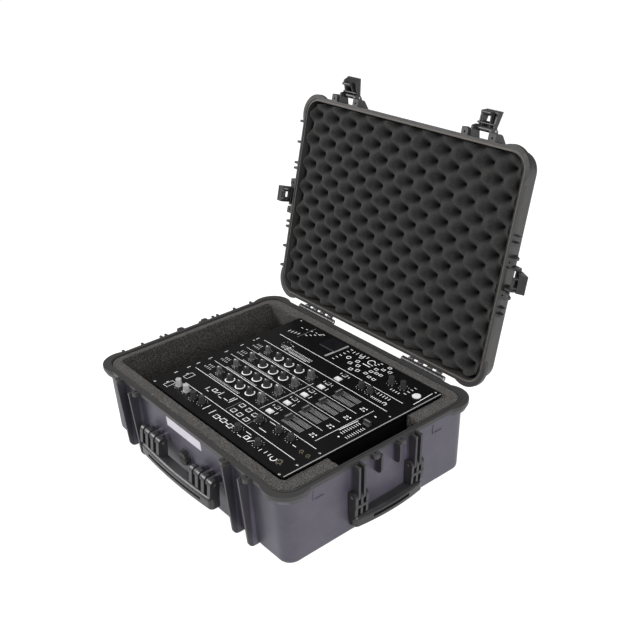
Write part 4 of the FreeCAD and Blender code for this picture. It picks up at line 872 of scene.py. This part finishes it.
@dataclass
class MixerPanel:
    """The mixer in the foam: body, plate, controls and printed legends."""

    shop: Workshop
    channels: tuple[float, ...] = (-79.0, -36.0, 7.0, 50.0)
    cues: tuple[float, ...] = (-90.0, -46.0, -2.0, 42.0, 88.0)
    tone_rows: tuple[float, ...] = (-111.0, -75.0, -40.0)
    meter_rise: float = 0.0008
    knob_skin: float = 0.9
    knob_edge: float = 1.4
    knob_middle: float = 0.6
    cap_half: float = 8.2
    cap_rise: float = 9.4

    def dress(self) -> None:
        """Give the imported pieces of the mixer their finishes."""
        numbers = range(1, len(self.channels) + 1)
        tones = [f"{kind}_knob_{n}" for kind in ("high", "middle", "low") for n in numbers]
        self.shop.dress(["mixer_chassis", "mixer_faceplate", "rear_sockets"], Finish.PANEL)
        self.shop.dress(["mixer_feet"], Finish.FOOT)
        self.shop.dress(["mixer_screen", "level_meters"], Finish.SCREEN)
        self.shop.dress(["plate_sockets"], Finish.SOCKET)
        self.shop.dress(["plate_screws"], Finish.STEEL)
        self.shop.dress([f"{kind}_knob_{n}" for kind in ("trim", "colour") for n in numbers], Finish.SILVER)
        self.shop.dress(tones, Finish.KNOB)
        self.shop.dress(["panel_knobs"], Finish.PANEL_KNOB)
        self.shop.dress([f"channel_fader_{n}" for n in numbers] + ["cross_fader"], Finish.CAP)
        self.shop.dress([f"cue_button_{n}" for n in range(1, len(self.cues) + 1)], Finish.BUTTON)
        self.shop.dress(["small_buttons"], Finish.DARK_BUTTON)

    def sheet(self) -> Print:
        """A fresh sheet of marks on the plate."""
        low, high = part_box("mixer_faceplate")
        return Print(((low[0] + high[0]) / 2, (low[1] + high[1]) / 2), high[2])

    def print_all(self) -> None:
        """Print the white marks and the fainter grey ones."""
        white = self.sheet()
        self.frames(white)
        self.channel_marks(white)
        self.side_columns(white)
        self.effect_corner(white)
        self.meter_dots(white)
        white.piece(self.shop, "panel_legends", Finish.LEGEND)
        faint = self.sheet()
        self.faint_marks(faint)
        faint.piece(self.shop, "panel_fine_scales", Finish.FAINT_LEGEND)
        self.moving_lines()

    def moving_lines(self) -> None:
        """The white lines on the knobs and fader caps, each riding with its own control."""
        rows = (("trim_knob", -149.0, 6.2, 14.0), ("high_knob", -111.0, 6.8, 12.0),
                ("middle_knob", -75.0, 6.8, 12.0), ("low_knob", -40.0, 6.8, 12.0),
                ("colour_knob", 0.0, 8.2, 16.0))
        for number, v in enumerate(self.channels, start=1):
            for kind, u, radius, height in rows:
                path = [(u - radius + self.knob_edge, v), (u - self.knob_middle, v)]
                self.line_on(f"{kind}_{number}", path, 1.0, height + self.knob_skin)
            path = [(89.0, v - self.cap_half), (89.0, v + self.cap_half)]
            self.line_on(f"channel_fader_{number}", path, 1.5, self.cap_rise)
        self.line_on("cross_fader", [(200.0, 18.0), (216.0, 18.0)], 1.5, self.cap_rise)

    def line_on(self, control: str, path: list[Place], width: float, rise: float) -> None:
        """Print one line on the top of a control."""
        ink = self.sheet()
        ink.bar(path, width, rise=rise * 0.001)
        finish = Finish.FAINT_LEGEND if "fader" in control else Finish.LEGEND
        ink.piece(self.shop, control + "_line", finish, control)

    def meter_dots(self, ink: Print) -> None:
        """Dots of the channel meters and the master meters, on their raised strips."""
        for v in self.channels:
            for side in (-20.6, -17.4):
                ink.scale((-158, v + side), (-54, v + side), 21, (1.6, 0), 1.3, rise=self.meter_rise)
        for v in (87.0, 94.0):
            for side in (-1.1, 1.1):
                ink.scale((-148, v + side), (-52, v + side), 20, (1.6, 0), 1.3, rise=self.meter_rise)

    def frames(self, ink: Print) -> None:
        """Lines between the panel's sections."""
        ink.bar([(-165, -154), (201, -154)])
        ink.bar([(-204, -104), (202, -104)])
        ink.bar([(-200, 77), (200, 77)])
        ink.bar([(-198, 120), (200, 120)])
        ink.bar([(181, -89), (181, 60)], 0.8)
        ink.bar([(20.5, -98), (20.5, 39)], 0.7)
        ink.bar([(217.6, 132.5), (215, 189)], 1.2)
        for v in (-57.5, -14.5, 28.5):
            ink.bar([(-200, v), (165, v)], 0.7)

    def channel_marks(self, ink: Print) -> None:
        """Tone-knob arcs, level dots, and ticks beside the cue buttons."""
        for v in self.channels:
            for u in self.tone_rows:
                ink.arc((u, v), 9.8, -165, 85, 2.4)
            ink.dots((-149, v), 9.5, 60, 300, 7)
            ink.dots((0, v), 12.5, 60, 300, 7)
            ink.scale((-196, v - 6), (-176, v - 6), 4, (0, 5), 0.9)
            ink.scale((-193, v + 4), (-179, v + 4), 3, (0, 7), 0.8)
            ink.bar([(58, v - 12), (58, v - 2)], 1.0)
            ink.scale((160, v - 5), (160, v + 3), 2, (7, 0), 1.0)
            ink.scale((168, v - 5), (168, v + 3), 2, (3, 0), 3.0)
            ink.bar([(156, v - 5), (163, v + 3)], 0.9)
        for v in self.cues:
            ink.outline((42, v), (15.4, 11.4), 0.6)
            ink.bar([(30, v + 16), (30, v + 22)], 1.0)
            ink.bar([(54, v + 16), (54, v + 22)], 0.9)
            ink.outline((42, v + 19), (9.6, 8.4), 0.9)
        ink.bar([(184.3, -33), (186, 14.6)], 1.5)
        ink.scale((195, -36), (195, 9), 9, (8, 0), 0.9)
        ink.scale((213, -40), (213, 4), 9, (8, 0), 0.9)
        ink.bar([(198, -48), (202, -48)], 3.0)
        ink.bar([(196, 48), (201, 48)], 2.5)

    def side_columns(self, ink: Print) -> None:
        """Outlines and ticks of the two columns left of the channels, and of the column right of them."""
        for place in ((-14, -178.6), (6.6, -176.5), (30.8, -178)):
            ink.outline(place, (11.5, 10.5), 1.2)
        ink.bar([(-8, -177.5), (0.8, -177)], 1.2)
        ink.bar([(12.5, -177), (25, -177.5)], 1.2)
        for place in ((-12, -118), (11, -118.6), (33, -120), (-9.6, -141), (11.3, -141), (34.3, -141.6)):
            ink.outline(place, (11.0, 10.0), 1.1)
        for place in ((-185, -181), (-184, -133)):
            ink.outline(place, (13, 22), 0.6)
            ink.bar([(place[0] - 10, place[1] - 2), (place[0] - 10, place[1] + 4)], 1.3)
        for place in ((51, -173.5), (117, -174), (-102, -174), (-76, -171), (110, -119.5), (146, -119),
                      (99, 102), (125, 102), (56, -124)):
            ink.dots(place, 11.5, 40, 320, 9)
        for place in ((-165, -170), (-135, -171), (-149, 102), (130, 157), (160, 161.5)):
            ink.dots(place, 10.5, 40, 320, 7)
        for low, high in (((-56, -184), (-56, -164)), ((-34, -184), (-34, -166)), ((64, -184), (76, -184)),
                          ((68, -166), (84, -166)), ((90, -182), (90, -170)), ((96, -184), (104, -170)),
                          ((134, -186), (134, -178)), ((147, -183), (147, -175)), ((158, -183), (158, -175)),
                          ((-90, -132), (-82, -122)), ((-78, -116), (-78, -132)), ((-72, -134), (-64, -134)),
                          ((-60, -130), (-46, -130)), ((-46, -112), (-46, -126)), ((-40, -110), (-40, -132)),
                          ((74, -140), (96, -140)), ((72, -112), (90, -112)), ((162, -128), (172, -128)),
                          ((-116, -138), (-116, -126)), ((-110, -138), (-104, -138))):
            ink.bar([low, high], 1.3)
        ink.arc((172, -180), 6.5, 150, 400, 1.6)
        ink.outline((-98, -126), (9, 9), 1.1)
        ink.outline((84, -177), (9, 9), 1.2)
        ink.scale((140, 92), (166, 92), 6, (0, 6), 1.2)
        ink.scale((140, 110), (172, 110), 5, (0, 8), 1.3)
        ink.arc((176, 92), 4.5, -60, 200, 1.4)
        ink.scale((-132, 106), (-132, 84), 4, (6, 0), 1.0)
        ink.bar([(-120, 84), (-60, 84)], 0.8)
        for v in (-150, -118, -94, -62, -20, 22, 66):
            ink.bar([(-216, v), (-216, v + 9)], 1.2)

    def effect_corner(self, ink: Print) -> None:
        """Outlines of the effect section behind the screen."""
        for u, v in ((80, 140), (94, 140), (80, 161), (92, 162), (80, 181), (97, 184), (84, 196), (64, 145),
                     (67, 158), (68, 172)):
            ink.outline((u, v), (7.5, 6), 1.0)
        ink.arc((-10, 163), 5.0, 0, 345, 1.3)
        for u, v in ((9, 150), (9, 183), (29, 134), (16, 166), (30, 154), (44, 140)):
            ink.outline((u, v), (8, 7), 1.1, turn=12.0)
        ink.scale((-30, 136), (-30, 190), 6, (7, 0), 1.3)
        ink.scale((-18, 186), (20, 192), 5, (0, 8), 1.3)
        ink.scale((50, 176), (60, 196), 4, (6, 0), 1.5)
        ink.bar([(30, 168), (52, 168)], 2.0)
        ink.arc((40, 184), 8.0, 20, 300, 1.6)
        ink.scale((146, 140), (168, 140), 4, (0, 6), 1.2)
        ink.scale((178, 178), (178, 148), 4, (7, 0), 1.2)
        ink.scale((-196, 146), (-170, 152), 4, (0, 9), 1.2)
        ink.scale((-152, 160), (-126, 190), 5, (7, 0), 1.3)
        ink.scale((-186, 176), (-130, 186), 5, (6, 0), 1.1)

    def faint_marks(self, ink: Print) -> None:
        """Fader scales and the bar under the screen."""
        for v in self.channels:
            for side in (-8.5, 8.5):
                ink.scale((84, v + side), (139, v + side), 15, (0, 13), 1.3)
        ink.bar([(-51, 130), (-48, 196)], 6.0)
        ink.bar([(227.6, -200), (227.6, 200)], 2.4)
        for low, high in (((-24, -150), (-24, -112)), ((48, -150), (48, -112)), ((-160, 140), (-160, 196))):
            ink.bar([low, high], 0.6)


@dataclass
class Studio:
    """A pale floor, soft lamps and the portrait camera."""

    azimuth: float = 51.21
    elevation: float = 27.45
    roll: float = -2.32
    distance: float = 2.22509
    target: tuple[float, float, float] = (-0.1990, 0.28011, 0.131)
    focal_pixels: float = 911.82
    frame_pixels: float = 640.0
    sensor: float = 36.0
    clip: tuple[float, float] = (0.05, 60.0)
    floor_half: float = 12.0
    floor_paint: float = 0.32
    floor_glow: float = 0.93
    soft_light: float = 0.2
    lamp_aim: tuple[float, float, float] = (0.0, 0.1, 0.2)

    def build(self) -> None:
        """Make the whole studio."""
        self.camera()
        self.floor()
        self.world()
        self.lamps()
        bpy.context.scene.view_settings.view_transform = "Standard"

    def camera(self) -> None:
        """Stand the camera where the portrait was taken from."""
        a, e, r = (math.radians(v) for v in (self.azimuth, self.elevation, self.roll))
        back = np.array([math.sin(a) * math.cos(e), -math.cos(a) * math.cos(e), math.sin(e)])
        right = np.array([math.cos(a), math.sin(a), 0.0])
        up = np.cross(back, right)
        across = math.cos(r) * right + math.sin(r) * up
        above = -math.sin(r) * right + math.cos(r) * up
        lens = bpy.data.cameras.new("portrait")
        lens.sensor_width = self.sensor
        lens.lens = self.focal_pixels / self.frame_pixels * self.sensor
        lens.clip_start, lens.clip_end = self.clip
        camera = bpy.data.objects.new("portrait", lens)
        bpy.context.scene.collection.objects.link(camera)
        place = np.array(self.target) + back * self.distance
        camera.matrix_world = standing(across, above, back, place)
        bpy.context.scene.camera = camera

    def floor(self) -> None:
        """Lay a pale floor that shows white and still keeps the object's shadow."""
        half = self.floor_half
        data = bpy.data.meshes.new("studio_floor")
        corners = [(-half, -half, 0.0), (half, -half, 0.0), (half, half, 0.0), (-half, half, 0.0)]
        data.from_pydata(corners, [], [(0, 1, 2, 3)])
        tree = Tree("studio_floor")
        paint = tree.add("BsdfDiffuse", {"Color": (self.floor_paint,) * 3})
        glow = tree.add("Emission", {"Color": (1.0, 1.0, 1.0), "Strength": self.floor_glow})
        both = tree.add("AddShader")
        tree.feed(both.inputs[0], paint.outputs[0])
        tree.feed(both.inputs[1], glow.outputs[0])
        path = tree.add("LightPath").outputs
        seen = tree.maths("MAXIMUM", tree.maths("MAXIMUM", path["Is Camera Ray"], path["Is Glossy Ray"]),
                          path["Is Transmission Ray"])
        mixed = tree.add("MixShader", {0: seen})
        tree.feed(mixed.inputs[1], paint.outputs[0])
        tree.feed(mixed.inputs[2], both.outputs[0])
        tree.links.new(mixed.outputs[0], tree.output.inputs["Surface"])
        data.materials.append(tree.material)
        floor = bpy.data.objects.new("studio_floor", data)
        bpy.context.scene.collection.objects.link(floor)

    def world(self) -> None:
        """Light from all round, and plain white where the camera looks past the floor."""
        world = bpy.data.worlds.new("studio")
        world.use_nodes = True
        nodes = world.node_tree.nodes
        links = world.node_tree.links
        soft = nodes["Background"]
        soft.inputs["Color"].default_value = (1.0, 1.0, 1.0, 1.0)
        soft.inputs["Strength"].default_value = self.soft_light
        white = nodes.new("ShaderNodeBackground")
        white.inputs["Color"].default_value = (1.0, 1.0, 1.0, 1.0)
        white.inputs["Strength"].default_value = 1.0
        path = nodes.new("ShaderNodeLightPath")
        mixed = nodes.new("ShaderNodeMixShader")
        links.new(path.outputs["Is Camera Ray"], mixed.inputs[0])
        links.new(soft.outputs[0], mixed.inputs[1])
        links.new(white.outputs[0], mixed.inputs[2])
        links.new(mixed.outputs[0], nodes["World Output"].inputs["Surface"])
        bpy.context.scene.world = world

    def lamps(self) -> None:
        """Hang three soft lamps: a key at the left, a fill at the right and one overhead."""
        self.lamp("key", (-2.8, -2.3, 2.3), 1.4, 150.0)
        self.lamp("fill", (2.8, -0.9, 1.7), 1.6, 75.0)
        self.lamp("overhead", (0.5, 0.3, 3.2), 1.8, 36.0)

    def lamp(self, name: str, place: tuple[float, float, float], size: float, watts: float) -> None:
        """Hang one square lamp that faces the case.

        Args:
            name: the lamp's name.
            place: where it hangs.
            size: its side.
            watts: its power.
        """
        light = bpy.data.lights.new(name, "AREA")
        light.size = size
        light.energy = watts
        lamp = bpy.data.objects.new(name, light)
        aim = np.array(self.lamp_aim) - np.array(place)
        aim /= np.linalg.norm(aim)
        side = np.cross(aim, [0.0, 0.0, 1.0])
        side /= np.linalg.norm(side)
        lamp.matrix_world = standing(side, np.cross(side, aim), -aim, np.array(place))
        bpy.context.scene.collection.objects.link(lamp)


def main() -> None:
    """Build each sub-assembly and the studio, and report the pieces."""
    logging.basicConfig(level=logging.INFO, format="%(name)s: %(message)s")
    shop = Workshop()
    lower = LowerCase(shop)
    lower.dress()
    lower.foam()
    upper = UpperCase(shop)
    upper.dress()
    upper.foam()
    panel = MixerPanel(shop)
    panel.dress()
    panel.print_all()
    Studio().build()


if __name__ == "__main__":
    main()
